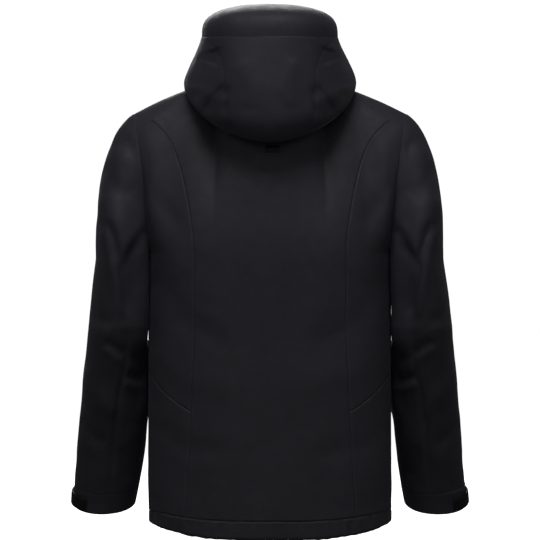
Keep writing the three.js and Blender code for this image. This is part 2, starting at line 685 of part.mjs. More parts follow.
for (const [side, sign] of sides) {
  for (const [name, from, to, rows] of sleevePieces) {
    const piece = mirror(sleevePiece(from, to), sign);
    add(`${name}_${side}`, sheet(piece, sleeveColumns, rows, { side: -sign, tube: true }), shellCloth);
  }
  const tab = mirror(tabPiece(tabTurns, tabLow, tabLow + tabHeight), sign);
  add(`cuff_tab_${side}`, sheet(tab, 12, 1, { side: sign, lift: tabLift }), hardPlastic);
  const loops = { side: sign, thickness: patchThick, lift: () => layerGap + patchThick };
  add(`cuff_loop_patch_${side}`, sheet(mirror(patch, sign), 5, 1, loops), trimCloth);
  const hooks = { ...loops, lift: () => hookLift + patchThick };
  add(`cuff_hook_patch_${side}`, sheet(mirror(patch, sign), 5, 1, hooks), trimCloth);
}

// ---- hood ---------------------------------------------------------------------------------------
// angle runs round the head from the centre back; w runs from the neck seam (-1) under the pouch to
// the roll (0) and up the wall to the crown seam (1).
const faceEdge = (w) => mix(2.62, 2.42, smooth(0, 0.5, w));

function hoodRoll(angle) {
  const back = Math.max(Math.cos(angle), 0);
  const side = vec(
    hoodRollHalfWidth * Math.sin(Math.min(angle, Math.PI / 2)) ** 1.11,
    hoodMidY + (hoodPouchY - hoodMidY) * back ** 0.9,
    hoodRollZ + (hoodPouchZ - hoodRollZ) * back ** 1.11,
  );
  const front = smooth(Math.PI / 2, 2.45, angle);
  return side.lerp(neckRing(angle, 14).add(vec(0, 0, 16)), front);
}

function crownRing(angle) {
  const across = Math.sin(angle);
  const along = Math.cos(angle);
  const reach = along > 0 ? hoodBackY - hoodMidY : hoodMidY - hoodFrontY;
  const lift = (1 - along) / 2;
  const x = hoodHalfWidth * bent(across, 0.9) * mix(1, 0.93, lift);
  return vec(x, hoodMidY + reach * bent(along, 0.9), mix(crownSeamZ, crownFrontZ, lift ** 1.5));
}

function hoodWall(angle, w) {
  const a = Math.abs(angle);
  const sign = angle < 0 ? -1 : 1;
  const roll = hoodRoll(a);
  const back = Math.max(Math.cos(a), 0);
  let p;
  if (w >= 0) {
    const ring = crownRing(a);
    const rise = ring.z - roll.z;
    const out = vec(Math.sin(a), Math.cos(a), 0);
    const startPull = out.clone().multiplyScalar(0.55 * back + 0.02).add(vec(0, 0, mix(0.7, 0.25, back)));
    const endPull = out.clone().multiplyScalar(-0.16).add(vec(0, 0, 0.8));
    p = hermite(roll, startPull.multiplyScalar(rise), ring, endPull.multiplyScalar(rise), w);
  } else {
    const neck = neckRing(a, fabric / 2 + 0.1).add(vec(0, 0, fabric + 1));
    const reach = neck.distanceTo(roll);
    const leave = vec(0.8 * Math.sin(a), 0.8 * Math.cos(a), mix(0.6, 0.15, back));
    const endPull = vec(0.8 * Math.sin(a), 0.8 * Math.cos(a), mix(0.1, -0.5, back));
    p = hermite(neck, leave.multiplyScalar(reach), roll, endPull.multiplyScalar(reach), w + 1);
  }
  return vec(sign * p.x, p.y, p.z);
}

// The line where the wall's cut panels end and the pouch that folds when the hood tips begins.
const pouchTop = (angle) => mix(0.08, 0.5, Math.max(Math.cos(angle), 0));
const hoodSeamX = (w) => mix(mix(76, 84, smooth(0.3, 0.75, w)), 113, smooth(0.72, 1, w));
const hoodSeam = (w) => solve((angle) => hoodWall(angle, w).x, hoodSeamX(w), 0, Math.PI / 2);

const hoodNeck = (s, t) => {
  const spread = 2 * s - 1;
  const w = mix(-1, pouchTop(spread * faceEdge(0)), t);
  return hoodWall(spread * faceEdge(w), w);
};
const hoodRows = [0, 0.15, 0.3, 0.42, 0.55, 0.68, 0.8, 0.9, 1];
add('hood_neck', sheet(hoodNeck, 32, hoodRows.length - 1, { side: -1, rows: hoodRows }), shellCloth);

const seamAngle = (t) => hoodSeam(mix(pouchTop(0.6), 1, t));
const wallPanel = (from, to) => (s, t) => {
  const angle = mix(from(t), to(t), s);
  return hoodWall(angle, mix(pouchTop(angle), 1, t));
};
const edgeAngle = (t) => faceEdge(mix(pouchTop(Math.PI), 1, t));
const backOfHood = wallPanel((t) => -seamAngle(t), seamAngle);
const sideOfHood = wallPanel(seamAngle, edgeAngle);
const hoodWallRows = 6;
add('hood_center_back', sheet(backOfHood, 12, hoodWallRows, { side: -1 }), shellCloth);

const apex = vec(0, -50, crownTopZ);
function crown(u, t) {
  const angle = (2 * u - 1) * Math.PI;
  const ring = crownRing(Math.abs(angle));
  const sign = angle < 0 ? -1 : 1;
  const arc = (t * Math.PI) / 2;
  const p = vec(sign * ring.x, ring.y, ring.z);
  const flat = p.clone().lerp(apex, 1 - Math.cos(arc));
  return vec(flat.x, flat.y, mix(p.z, apex.z, Math.sin(arc)));
}
add('hood_crown', sheet(crown, 40, 6, { side: -1, tube: true, dome: true }), shellCloth);

const brim = (s, t) => {
  const spread = mix(-1, 1, s);
  const angle = Math.PI - Math.abs(spread) * (Math.PI - faceEdge(1));
  const root = crownRing(angle);
  const reach = brimReach * Math.cos((spread * Math.PI) / 2) ** 0.7;
  return vec(-Math.sign(spread) * root.x, root.y - t * (reach + 2), root.z - 2 - 0.35 * t * reach);
};
add('hood_brim', sheet(brim, 14, 2, { side: 1, thickness: 3 }), shellCloth);

const bindingWidth = 0.09;
const binding = (s, t) => {
  const angle = edgeAngle(t) - mix(bindingWidth, 0.004, s);
  return hoodWall(angle, mix(pouchTop(angle), 1, t));
};
for (const [side, sign] of sides) {
  const facing = { side: -sign };
  add(`hood_side_${side}`, sheet(mirror(sideOfHood, sign), 12, hoodWallRows, facing), shellCloth);
  add(`hood_face_binding_${side}`, sheet(mirror(binding, sign), 2, hoodWallRows, {
    ...facing, thickness: 1.2, lift: () => 1.2 + layerGap,
  }), trimCloth);
}

// The end of the hood's rear adjuster, which lies on the back just under the pouch.
const adjusterV = [0.507, 0.548];
const adjusterU = [-0.012, 0.006];
const adjuster = (s, t) => {
  const u = mix(...adjusterU, s);
  const p = body(Math.abs(u), mix(...adjusterV, t), 1);
  return vec(u * 1400, p.y, p.z);
};
add('hood_adjuster_tab', sheet(adjuster, 1, 1, {
  side: -1, thickness: 1.6, lift: () => facetRoom / 2 + 1.6,
}), hardPlastic);

export default jacket;
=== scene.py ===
"""A hooded hardshell jacket dressed around its CAD frame: cloth panels with seams, folds and trims.

Metres, +Z up, the wearer faces -Y, +X is the wearer's left. The origin is the centre back of the neck seam.
"""
import math

import bmesh
import bpy
import numpy as np
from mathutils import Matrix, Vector


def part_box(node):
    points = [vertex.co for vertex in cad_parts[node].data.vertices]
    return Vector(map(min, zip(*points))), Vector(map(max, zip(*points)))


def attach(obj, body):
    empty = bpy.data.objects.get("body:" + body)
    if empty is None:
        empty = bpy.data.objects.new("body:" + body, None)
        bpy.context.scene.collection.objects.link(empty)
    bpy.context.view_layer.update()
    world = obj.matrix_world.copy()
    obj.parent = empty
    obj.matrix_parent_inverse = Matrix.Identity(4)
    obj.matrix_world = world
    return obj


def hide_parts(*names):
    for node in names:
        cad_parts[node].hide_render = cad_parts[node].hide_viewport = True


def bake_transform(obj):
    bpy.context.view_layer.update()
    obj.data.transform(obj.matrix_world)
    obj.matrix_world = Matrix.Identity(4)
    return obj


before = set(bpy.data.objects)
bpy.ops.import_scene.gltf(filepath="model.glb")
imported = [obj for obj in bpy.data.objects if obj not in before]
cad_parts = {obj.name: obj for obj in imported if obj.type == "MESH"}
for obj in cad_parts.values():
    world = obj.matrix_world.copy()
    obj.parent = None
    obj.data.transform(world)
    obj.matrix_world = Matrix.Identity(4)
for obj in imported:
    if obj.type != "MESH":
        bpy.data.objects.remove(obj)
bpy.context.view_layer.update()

# ---- sizes read from the frame --------------------------------------------------------------------
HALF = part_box("side_panel_left")[1].x
HEM_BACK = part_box("hem_band")[0].z
BACK_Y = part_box("hem_band")[1].y
CROWN_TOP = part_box("hood_crown")[1].z
CROWN_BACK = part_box("hood_crown")[1].y
CROWN_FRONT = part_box("hood_crown")[0].y
NECK_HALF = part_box("collar")[1].x
ROLL_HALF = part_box("hood_neck")[1].x + 0.001
CUFF_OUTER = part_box("cuff_band_left")[1].x

# ---- shape of the cut: the values of the frame's source, but for HEM_SIDE ---------------------------
SIDE_SEAM_Y = -0.075
UNDERARM_Z = -0.27
HEM_FRONT_RISE = 0.015
HEM_TALL = (0.033, 0.022)
# The panel is lowest at its back seam, so HEM_SIDE lies about 22 mm below the frame's hem at the side.
HEM_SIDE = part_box("side_panel_left")[0].z - HEM_TALL[1]
HEM_FOLD = 0.011
OVAL = 0.8
SHOULDER_TIP = (0.238, -0.075, -0.03)
SHOULDER_MID = (0.166, -0.072, 0.008)
ZIP_SLOPE = 0.09
ZIP_Y0 = -0.16
ZIP_Z0 = 0.03
NECK_SHARE = 0.25
YOKE = 0.83
NECK_SIDE_Z = 0.03
NECK_FRONT_Z = -0.058
COLLAR_TALL = 0.076
SLANT_LOW = -0.6
SLANT_HIGH = -0.43
PRINCESS_SHARE = 0.62
FRONT_EDGE = 0.0108
ELBOW_Z = -0.4
ELBOW_Y = -0.08
CUFF_Z = -0.711
CUFF_TILT = 0.018
CUFF_TALL = 0.038
CLOTH = 0.0012
SIDES = (("left", 1), ("right", -1))


# ---- small mathematics ----------------------------------------------------------------------------
def mix(a, b, t):
    return a + (b - a) * t


def smooth(low, high, x):
    t = np.clip((np.asarray(x, float) - low) / (high - low), 0, 1)
    return t * t * (3 - 2 * t)


def bent(x, power):
    return np.sign(x) * np.abs(x) ** power


def pack(x, y, z):
    x, y, z = np.broadcast_arrays(x, y, z)
    return np.stack([x, y, z], -1).astype(float)


def hermite(start, pull_a, end, pull_b, s):
    s = np.asarray(s, float)[..., None]
    s2, s3 = s * s, s * s * s
    return (start * (2 * s3 - 3 * s2 + 1) + pull_a * (s3 - 2 * s2 + s)
            + end * (3 * s2 - 2 * s3) + pull_b * (s3 - s2))


def noise(points, size, seed=0):
    """Smooth value noise from -1 to 1 with lumps of about that size."""
    p = np.asarray(points, float) / size + seed * 17.31
    cell = np.floor(p).astype(np.int64)
    t = p - cell
    t = t * t * (3 - 2 * t)
    total = np.zeros(p.shape[:-1])
    for dx in (0, 1):
        for dy in (0, 1):
            for dz in (0, 1):
                key = (cell[..., 0] + dx) * 374761393 + (cell[..., 1] + dy) * 668265263
                key = (key + (cell[..., 2] + dz) * 2147483647 + seed * 1013904223) & 0xFFFFFFFF
                key = ((key ^ (key >> 13)) * 1274126177) & 0xFFFFFFFF
                value = ((key ^ (key >> 16)) & 0xFFFF) / 32767.5 - 1
                wx = t[..., 0] if dx else 1 - t[..., 0]
                wy = t[..., 1] if dy else 1 - t[..., 1]
                wz = t[..., 2] if dz else 1 - t[..., 2]
                total += value * wx * wy * wz
    return total


def line_distance(x, z, points):
    """Distance in the x, z plane to a line of points, its side (above the line is positive) and
    how far along it, from 0 to 1."""
    points = np.asarray(points, float)
    lengths = np.linalg.norm(np.diff(points, axis=0), axis=1)
    done = np.concatenate([[0], np.cumsum(lengths)]) / lengths.sum()
    best = np.full(np.shape(x), 9.0)
    side = np.zeros(np.shape(x))
    along = np.zeros(np.shape(x))
    for k, (a, b) in enumerate(zip(points[:-1], points[1:])):
        d = b - a
        t = np.clip(((x - a[0]) * d[0] + (z - a[1]) * d[1]) / (d @ d), 0, 1)
        rx, rz = x - a[0] - t * d[0], z - a[1] - t * d[1]
        far = np.hypot(rx, rz)
        near = far < best
        best = np.where(near, far, best)
        side = np.where(near, np.sign(d[0] * rz - d[1] * rx), side)
        along = np.where(near, mix(done[k], done[k + 1], t), along)
    return best, side, along


# ---- the body's surface: u from the centre to the side, v from the hem band (-1) to the shoulder (1)
def zip_y(z):
    return ZIP_Y0 - ZIP_SLOPE * (ZIP_Z0 - z)


def across(u):
    return np.sin(np.clip(u, 0, 1) * math.pi / 2) ** OVAL


def hem_z(u, face):
    a = across(u)
    back = HEM_BACK + (HEM_SIDE - HEM_BACK) * a ** 3
    front = HEM_SIDE + HEM_FRONT_RISE * (1 - a ** 2)
    return back if face > 0 else front


def hem_tall(u, face):
    return mix(HEM_TALL[1], HEM_TALL[0], np.cos(u * math.pi / 2)) if face > 0 else HEM_TALL[1] + 0 * u


def lower_body(u, z, face):
    depth = (BACK_Y - SIDE_SEAM_Y) if face > 0 else zip_y(z) - SIDE_SEAM_Y
    return pack(HALF * across(u), SIDE_SEAM_Y + depth * np.maximum(np.cos(u * math.pi / 2), 0) ** OVAL, z)


def neck_ring(angle, out=0.0):
    tilt = -NECK_FRONT_Z / 2
    level = (NECK_SIDE_Z - tilt) / 2
    dip = (NECK_SIDE_Z + tilt) / 2
    half = -zip_y(NECK_FRONT_Z) / 2
    return pack((NECK_HALF + out) * np.sin(angle), -half + (half + out) * np.cos(angle),
                level + tilt * np.cos(angle) - dip * np.cos(2 * angle))


def top_line(u, face):
    quarter = np.clip(u / NECK_SHARE, 0, 1) * math.pi / 2
    neck = neck_ring(quarter if face > 0 else math.pi - quarter)
    s = np.clip((u - NECK_SHARE) / (1 - NECK_SHARE), 0, 1)[..., None]
    start = neck_ring(np.array(math.pi / 2))
    line = (1 - s) ** 2 * start + 2 * s * (1 - s) * np.array(SHOULDER_MID) + s * s * np.array(SHOULDER_TIP)
    return np.where((u <= NECK_SHARE)[..., None], neck, line)


def body(u, v, face):
    u, v = np.broadcast_arrays(np.asarray(u, float), np.asarray(v, float))
    low = lower_body(u, mix(UNDERARM_Z, hem_z(u, face) + hem_tall(u, face), np.maximum(-v, 0)), face)
    start = lower_body(u, UNDERARM_Z + 0 * u, face)
    end = top_line(u, face)
    rise = (end[..., 2] - UNDERARM_Z)[..., None]
    # The neck's slope fades out over the shoulder; the frame's surface steps there, so the two differ.
    at_neck = smooth(-NECK_SHARE * 1.8, -NECK_SHARE * 0.5, -u)[..., None]
    at_arm = smooth(0.5, 1, u)[..., None]
    neck_pull = np.array([0, -0.37, 0.7] if face > 0 else [0, ZIP_SLOPE, 1])
    slope = 0 if face > 0 else ZIP_SLOPE
    pull_a = mix(np.array([0, slope, 0.95]), np.array([-0.02, 0.9 * face, 0.55]), at_arm)
    pull_b = mix(np.array([0, -face * 0.5, 0.04]), neck_pull, at_neck)
    pull_b = mix(pull_b, np.array([0.15, -0.9 * face, 0.46]), at_arm)
    high = hermite(start, pull_a * rise, end, pull_b * rise, np.maximum(v, 0))
    return np.where((v < 0)[..., None], low, high)


def solve(rising, target, low, high):
    """Where a rising function reaches target, for every target at once."""
    low, high = low + 0 * target, high + 0 * target
    for _ in range(26):
        middle = (low + high) / 2
        below = rising(middle) < target
        low, high = np.where(below, middle, low), np.where(below, high, middle)
    return (low + high) / 2


def princess(v):
    v = np.asarray(v, float)
    low = PRINCESS_SHARE + 0.11 * np.maximum(-v - 0.2, 0) ** 1.5
    high = PRINCESS_SHARE + 0.36 * (np.maximum(v, 0) / YOKE) ** 1.7
    x = HALF * np.where(v < 0, low, high)
    return solve(lambda u: body(u, v, 1)[..., 0], x, 0.0, 1.0)


def to_top(u):
    return np.clip((u - NECK_SHARE) / 0.35, 0, 1)


def panel_v(u, t):
    return mix(-1, YOKE, t) + (1 - YOKE) * (1 - to_top(u)) * smooth(0.5, 1, t)


def mirrored(points, sign):
    return points * np.array([sign, 1, 1])


SEAM_TOP = float(princess(np.array(YOKE)))


def back_surface(s, t):
    spread = 2 * s - 1
    u = np.abs(spread) * seam_u(t)
    p = body(u, panel_v(np.abs(spread) * SEAM_TOP, t), 1)
    p[..., 0] *= np.sign(spread)
    return p


_seam_t = np.linspace(-0.02, 1.02, 240)
_seam_u = princess(mix(-1, YOKE, _seam_t))


def seam_u(t):
    """Where across the back the princess seam stands, by the share of its height."""
    return np.interp(t, _seam_t, _seam_u)


def seam_at(v):
    return seam_u((v + 1) / (YOKE + 1))


def slant_v(s):
    return mix(SLANT_LOW, SLANT_HIGH, s)


def slanted_side(s, t):
    v = mix(slant_v(s), YOKE, t)
    return body(mix(seam_at(v), 1, s), v, 1)


def lower_side(s, t):
    v = mix(-1, slant_v(s), t)
    return body(mix(seam_at(v), 1, s), v, 1)


_front_t = np.linspace(-0.02, 1.02, 240)
_front_u = solve(lambda u: body(u, panel_v(0, _front_t), -1)[..., 0], FRONT_EDGE + 0 * _front_t, 0.0, 0.5)


def front_surface(s, t):
    u = mix(np.interp(t, _front_t, _front_u), 1, s)
    return body(u, panel_v(u, t), -1)


def yoke_surface(s, t):
    u = mix(NECK_SHARE + 0.012, 1, s)
    top = 1 - (1 - YOKE) * to_top(u)
    back = body(u, mix(top, 1, np.clip(2 * t, 0, 1)), 1)
    front = body(u, mix(1, top, np.clip(2 * t - 1, 0, 1)), -1)
    return np.where((t < 0.5)[..., None], back, front)


# ---- sleeve: turn round the arm from its outer edge over the back, q from armhole (-1) to cuff (1)
SLEEVE_OUTER = 0.302
SLEEVE_INNER = 0.2155
FOREARM_LEAN = 0.24
SLEEVE_START = (-0.2625, 0.0275)
TAPER_Z = -0.284
FLATTEN_Z = -0.29
NARROW_Z = -0.559
SLEEVE_DEPTH = (0.08, 0.042)


def sleeve_start(turn):
    return SLEEVE_START[0] + SLEEVE_START[1] * np.cos(turn)


def sleeve_end(turn):
    return CUFF_Z - CUFF_TILT * np.sin(turn)


def sleeve_tube(turn, q):
    z = mix(sleeve_start(turn), sleeve_end(turn), q)
    below = np.clip((TAPER_Z - z) / (TAPER_Z - CUFF_Z), 0, 1.1)
    outer = SLEEVE_OUTER + (CUFF_OUTER - SLEEVE_OUTER) * below ** 0.85
    inner = SLEEVE_INNER + 0.025 * np.clip((NARROW_Z - z) / 0.169, 0, 1.2) ** 1.6
    depth = mix(*SLEEVE_DEPTH, np.clip((FLATTEN_Z - z) / (FLATTEN_Z - CUFF_Z), 0, 1) ** 0.9)
    upper = mix(SIDE_SEAM_Y, ELBOW_Y, np.clip((FLATTEN_Z - z) / (FLATTEN_Z - ELBOW_Z), 0, 1))
    middle = np.where(z > ELBOW_Z, upper, ELBOW_Y - FOREARM_LEAN * (ELBOW_Z - z))
    return pack((outer + inner) / 2 + (outer - inner) / 2 * np.cos(turn), middle + depth * np.sin(turn), z)


def armhole(turn):
    back = body(np.ones_like(turn), np.clip(1 - turn / math.pi, 0, 1), 1)
    front = body(np.ones_like(turn), np.clip(turn / math.pi - 1, 0, 1), -1)
    return np.where((turn <= math.pi)[..., None], back, front)


def sleeve_point(turn, q):
    turn = np.mod(turn, 2 * math.pi)
    start, end = armhole(turn), sleeve_tube(turn, 0 * q)
    reach = np.linalg.norm(end - start, axis=-1)[..., None]
    pull_a = pack(0.85 + 0 * turn, 0 * turn, -0.3 - 0.25 * np.cos(turn)) * reach * 0.8
    way = sleeve_tube(turn, 0 * q + 0.05) - end
    pull_b = way / np.linalg.norm(way, axis=-1)[..., None] * reach * 0.9
    head = hermite(start, pull_a, end, pull_b, np.clip(q + 1, 0, 1))
    return np.where((q < 0)[..., None], head, sleeve_tube(turn, np.maximum(q, 0)))


def sleeve_share(turn, z):
    return (z - sleeve_start(turn)) / (sleeve_end(turn) - sleeve_start(turn))


# ---- hood: angle round the head from the back, w from the neck (-1) past the roll (0) to the crown (1)
HOOD_MID_Y = -0.06
ROLL_Z = 0.023
POUCH_Z = -0.083
POUCH_Y = 0.072
CROWN_SEAM_Z = 0.098
CROWN_FRONT_Z = 0.116
HOOD_HALF = 0.122


def face_edge(w):
    return mix(2.62, 2.42, smooth(0, 0.5, w))


def hood_roll(a):
    back = np.maximum(np.cos(a), 0)
    side = pack(ROLL_HALF * np.sin(np.minimum(a, math.pi / 2)) ** 1.11,
                HOOD_MID_Y + (POUCH_Y - HOOD_MID_Y) * back ** 0.9, ROLL_Z + (POUCH_Z - ROLL_Z) * back ** 1.11)
    front = smooth(math.pi / 2, 2.45, a)[..., None]
    return mix(side, neck_ring(a, 0.014) + np.array([0, 0, 0.016]), front)


def crown_ring(a):
    along = np.cos(a)
    reach = np.where(along > 0, CROWN_BACK - HOOD_MID_Y, HOOD_MID_Y - CROWN_FRONT)
    lift = (1 - along) / 2
    return pack(HOOD_HALF * bent(np.sin(a), 0.9) * mix(1, 0.93, lift),
                HOOD_MID_Y + reach * bent(along, 0.9), mix(CROWN_SEAM_Z, CROWN_FRONT_Z, lift ** 1.5))


def hood_wall(angle, w):
    angle, w = np.broadcast_arrays(np.asarray(angle, float), np.asarray(w, float))
    a = np.abs(angle)
    roll, ring = hood_roll(a), crown_ring(a)
    back = np.maximum(np.cos(a), 0)
    rise = (ring[..., 2] - roll[..., 2])[..., None]
    out = pack(np.sin(a), np.cos(a), 0 * a)
    up = np.array([0, 0, 1.0])
    pull_a = out * (0.55 * back + 0.02)[..., None] + up * mix(0.7, 0.25, back)[..., None]
    pull_b = out * -0.16 + up * 0.8
    high = hermite(roll, pull_a * rise, ring, pull_b * rise, np.maximum(w, 0))
    neck = neck_ring(a, 0.0011) + np.array([0, 0, 0.003])
    reach = np.linalg.norm(neck - roll, axis=-1)[..., None]
    leave = out * 0.8 + up * mix(0.6, 0.15, back)[..., None]
    arrive = out * 0.8 + up * mix(0.1, -0.5, back)[..., None]
    low = hermite(neck, leave * reach, roll, arrive * reach, np.minimum(w, 0) + 1)
    p = np.where((w >= 0)[..., None], high, low)
    p[..., 0] *= np.where(angle < 0, -1, 1)
    return p


def pouch_top(angle):
    return mix(0.08, 0.5, np.maximum(np.cos(angle), 0))


def crown_surface(s, t):
    angle = (2 * s - 1) * math.pi
    ring = crown_ring(np.abs(angle))
    ring[..., 0] *= np.where(angle < 0, -1, 1)
    arc = t * math.pi / 2
    apex = np.array([0, -0.05, CROWN_TOP])
    p = mix(ring, apex, ((1 - np.cos(arc)) ** 1.5)[..., None])
    p[..., 2] = mix(ring[..., 2], CROWN_TOP, np.sin(arc))
    return p


# ---- cloth builder --------------------------------------------------------------------------------
PUCKER = 0.0004
SHARP = math.radians(60)


def ticks(length, cell, near=(0.0013, 0.003, 0.0055)):
    """Shares of a length: even cells, with closer lines beside both ends for the seam's shape."""
    count = max(int(round(length / cell)), 2)
    even = np.linspace(0, 1, count + 1)
    ends = np.array([d / length for d in near])
    inner = even[(even > ends[-1] * 1.6) & (even < 1 - ends[-1] * 1.6)]
    return np.concatenate([[0], ends, inner, 1 - ends[::-1], [1]])


def unit(v):
    return v / np.maximum(np.linalg.norm(v, axis=-1, keepdims=True), 1e-12)


def grid_normals(points, side):
    return unit(np.cross(np.gradient(points, axis=1), np.gradient(points, axis=0))) * side


def steps_of(points, axis):
    return np.linalg.norm(np.diff(points, axis=axis), axis=-1)


def edge_field(points, seams):
    """For each point its distance to the nearest sewn edge, and how far along that edge it lies."""
    across_u = np.concatenate([np.zeros((points.shape[0], 1)), np.cumsum(steps_of(points, 1), 1)], 1)
    along_v = np.concatenate([np.zeros((1, points.shape[1])), np.cumsum(steps_of(points, 0), 0)], 0)
    edge = np.full(points.shape[:2], 0.5)
    run = np.zeros(points.shape[:2])
    fields = {"l": (across_u, along_v), "r": (across_u[:, -1:] - across_u, along_v),
              "b": (along_v, across_u), "t": (along_v[-1:] - along_v, across_u)}
    for key in seams:
        far, length = fields[key]
        run = np.where(far < edge, length, run)
        edge = np.minimum(edge, far)
    return edge, run


def seam_relief(edge, points):
    """The sewn edge dips, the seam allowance under it stands up a little, and the thread puckers it."""
    dip = -0.0010 * np.exp(-(edge / 0.0014) ** 2) + 0.0001 * np.exp(-((edge - 0.0045) / 0.0025) ** 2)
    return dip + PUCKER * np.exp(-edge / 0.009) * noise(points, 0.009, 3)


def cloth(name, surface, columns, rows, side, seams="", relief=None, thickness=CLOTH, lift=0.0,
          sign=1, closed=False, quiet=""):
    """A closed thin mesh on surface(s, t), seen from outside, with its seams and folds in the shape."""
    step_s, step_t = columns[1] - columns[0], rows[1] - rows[0]
    wide = np.concatenate([[columns[0] - step_s], columns, [columns[-1] + step_s]])
    tall = np.concatenate([[rows[0] - step_t], rows, [rows[-1] + step_t]])
    s, t = np.meshgrid(wide, tall)
    points = mirrored(surface(s, t), sign)
    core = (slice(1, -1), slice(1, -1))
    edge, run = edge_field(points[core], seams)
    padded_edge = np.pad(edge, 1, mode="edge")
    normals = grid_normals(points, side * sign)
    height = lift + seam_relief(padded_edge, points) if seams else lift + np.zeros(points.shape[:2])
    if relief is not None:
        height = height + relief(points, normals)
    if quiet:
        still = np.pad(edge_field(points[core], quiet)[0], 1, mode="edge")
        height = mix(lift, height, smooth(0, 0.02, still))
    points = points + normals * height[..., None]
    normals = grid_normals(points, side * sign)[core]
    points = points[core]
    return grid_mesh(name, points, points - normals * thickness, normals, edge, run, closed)


def placed(name, data):
    piece = bpy.data.objects.new(name, data)
    bpy.context.scene.collection.objects.link(piece)
    return piece


def grid_mesh(name, outer, inner, normals, edge, run, closed):
    tall, wide = outer.shape[:2]
    if closed:
        outer, inner, edge, run = outer[:, :-1], inner[:, :-1], edge[:, :-1], run[:, :-1]
        wide -= 1
    count = tall * wide
    at = np.arange(count).reshape(tall, wide)
    nxt = np.roll(at, -1, axis=1) if closed else at[:, 1:]
    cur = at if closed else at[:, :-1]
    quads = [np.stack([cur[:-1], nxt[:-1], nxt[1:], cur[1:]], -1).reshape(-1, 4)]
    quads.append(quads[0][:, ::-1] + count)
    for row in (0, tall - 1):
        a, b = cur[row], nxt[row]
        rim = np.stack([b, a, a + count, b + count], -1)
        quads.append(rim if row == 0 else rim[:, ::-1])
    if not closed:
        for col in (0, wide - 1):
            a, b = at[:-1, col], at[1:, col]
            rim = np.stack([a, b, b + count, a + count], -1)
            quads.append(rim if col == 0 else rim[:, ::-1])
    faces = np.concatenate(quads)
    co = np.concatenate([outer.reshape(-1, 3), inner.reshape(-1, 3)])
    a, b, c, d = (co[faces[: (tall - 1) * cur.shape[1], k]] for k in range(4))
    facing = np.einsum("ij,ij->i", np.cross(c - a, d - b), normals[:-1, : cur.shape[1]].reshape(-1, 3)).sum()
    if facing < 0:
        faces = faces[:, ::-1]
    mesh = bpy.data.meshes.new(name)
    mesh.from_pydata(co.tolist(), [], faces.tolist())
    mesh.shade_smooth()
    mesh.set_sharp_from_angle(angle=SHARP)
    for key, field in (("edge", edge), ("run", run)):
        values = np.concatenate([field.reshape(-1), field.reshape(-1)]).astype(np.float32)
        mesh.attributes.new(key, "FLOAT", "POINT").data.foreach_set("value", values)
    mesh.update()
    return placed(name, mesh)


# ---- folds: (width, height, share of a step beside it, points in x and z on the back of the left half)
BACK_FOLDS = (
    (0.016, -0.0030, 0.0, ((0.228, -0.085), (0.205, -0.165), (0.150, -0.235))),
    (0.026, 0.0026, 0.0, ((0.226, -0.150), (0.192, -0.240), (0.140, -0.320))),
    (0.020, -0.0022, 0.0, ((0.208, -0.300), (0.150, -0.385), (0.060, -0.440))),
    (0.024, 0.0020, 0.0, ((0.205, -0.430), (0.150, -0.480), (0.050, -0.505))),
    (0.018, -0.0020, 0.0, ((0.205, -0.560), (0.160, -0.600), (0.070, -0.615))),
    (0.022, 0.0018, 0.0, ((0.100, -0.120), (0.112, -0.260), (0.096, -0.420))),
    (0.018, -0.0016, 0.0, ((0.040, -0.150), (0.052, -0.300), (0.030, -0.460))),
)
SLEEVE_FOLDS = (
    (0.010, -0.0050, 0.4, ((0.213, -0.225), (0.232, -0.262), (0.254, -0.304))),
    (0.009, -0.0060, 0.6, ((0.2915, -0.220), (0.277, -0.224), (0.266, -0.261), (0.257, -0.304),
                           (0.245, -0.370), (0.2435, -0.387))),
    (0.005, -0.0030, 0.0, ((0.2434, -0.382), (0.2468, -0.461), (0.250, -0.482), (0.2606, -0.525),
                           (0.269, -0.581), (0.2743, -0.640), (0.276, -0.680))),
    (0.009, -0.0045, 0.5, ((0.285, -0.425), (0.2635, -0.438), (0.2485, -0.452))),
    (0.010, -0.0060, 0.5, ((0.250, -0.4816), (0.228, -0.490), (0.212, -0.487))),
    (0.014, -0.0040, 0.3, ((0.2635, -0.074), (0.247, -0.086), (0.231, -0.096))),
    (0.016, -0.0032, 0.2, ((0.292, -0.120), (0.262, -0.160), (0.232, -0.176))),
    (0.018, 0.0040, 0.0, ((0.300, -0.170), (0.262, -0.215), (0.222, -0.262))),
    (0.014, -0.0030, 0.2, ((0.325, -0.360), (0.300, -0.386), (0.268, -0.396))),
    (0.016, 0.0034, 0.0, ((0.332, -0.470), (0.296, -0.520), (0.262, -0.556))),
    (0.012, -0.0028, 0.2, ((0.336, -0.560), (0.310, -0.590), (0.284, -0.604))),
    (0.012, -0.0024, 0.2, ((0.262, -0.610), (0.250, -0.640), (0.244, -0.672))),
)
HOOD_FOLDS = (
    (0.014, -0.0060, 0.0, ((0.100, 0.078), (0.097, 0.065), (0.104, 0.050))),
    (0.012, -0.0055, 0.0, ((0.092, 0.010), (0.082, 0.003), (0.072, -0.002))),
    (0.016, -0.0070, 0.0, ((0.110, -0.012), (0.086, -0.026), (0.068, -0.030))),
    (0.020, 0.0045, 0.0, ((0.126, 0.012), (0.098, -0.022), (0.050, -0.047), (0.0, -0.052))),
    (0.012, -0.0040, 0.0, ((0.140, 0.012), (0.114, -0.016), (0.092, -0.050), (0.052, -0.070))),
    (0.016, 0.0030, 0.0, ((0.048, 0.060), (0.030, 0.010), (0.034, -0.030))),
    (0.020, -0.0026, 0.0, ((0.130, 0.070), (0.122, 0.040), (0.128, 0.010))),
)


CALM_Z = (-0.67, -0.71)


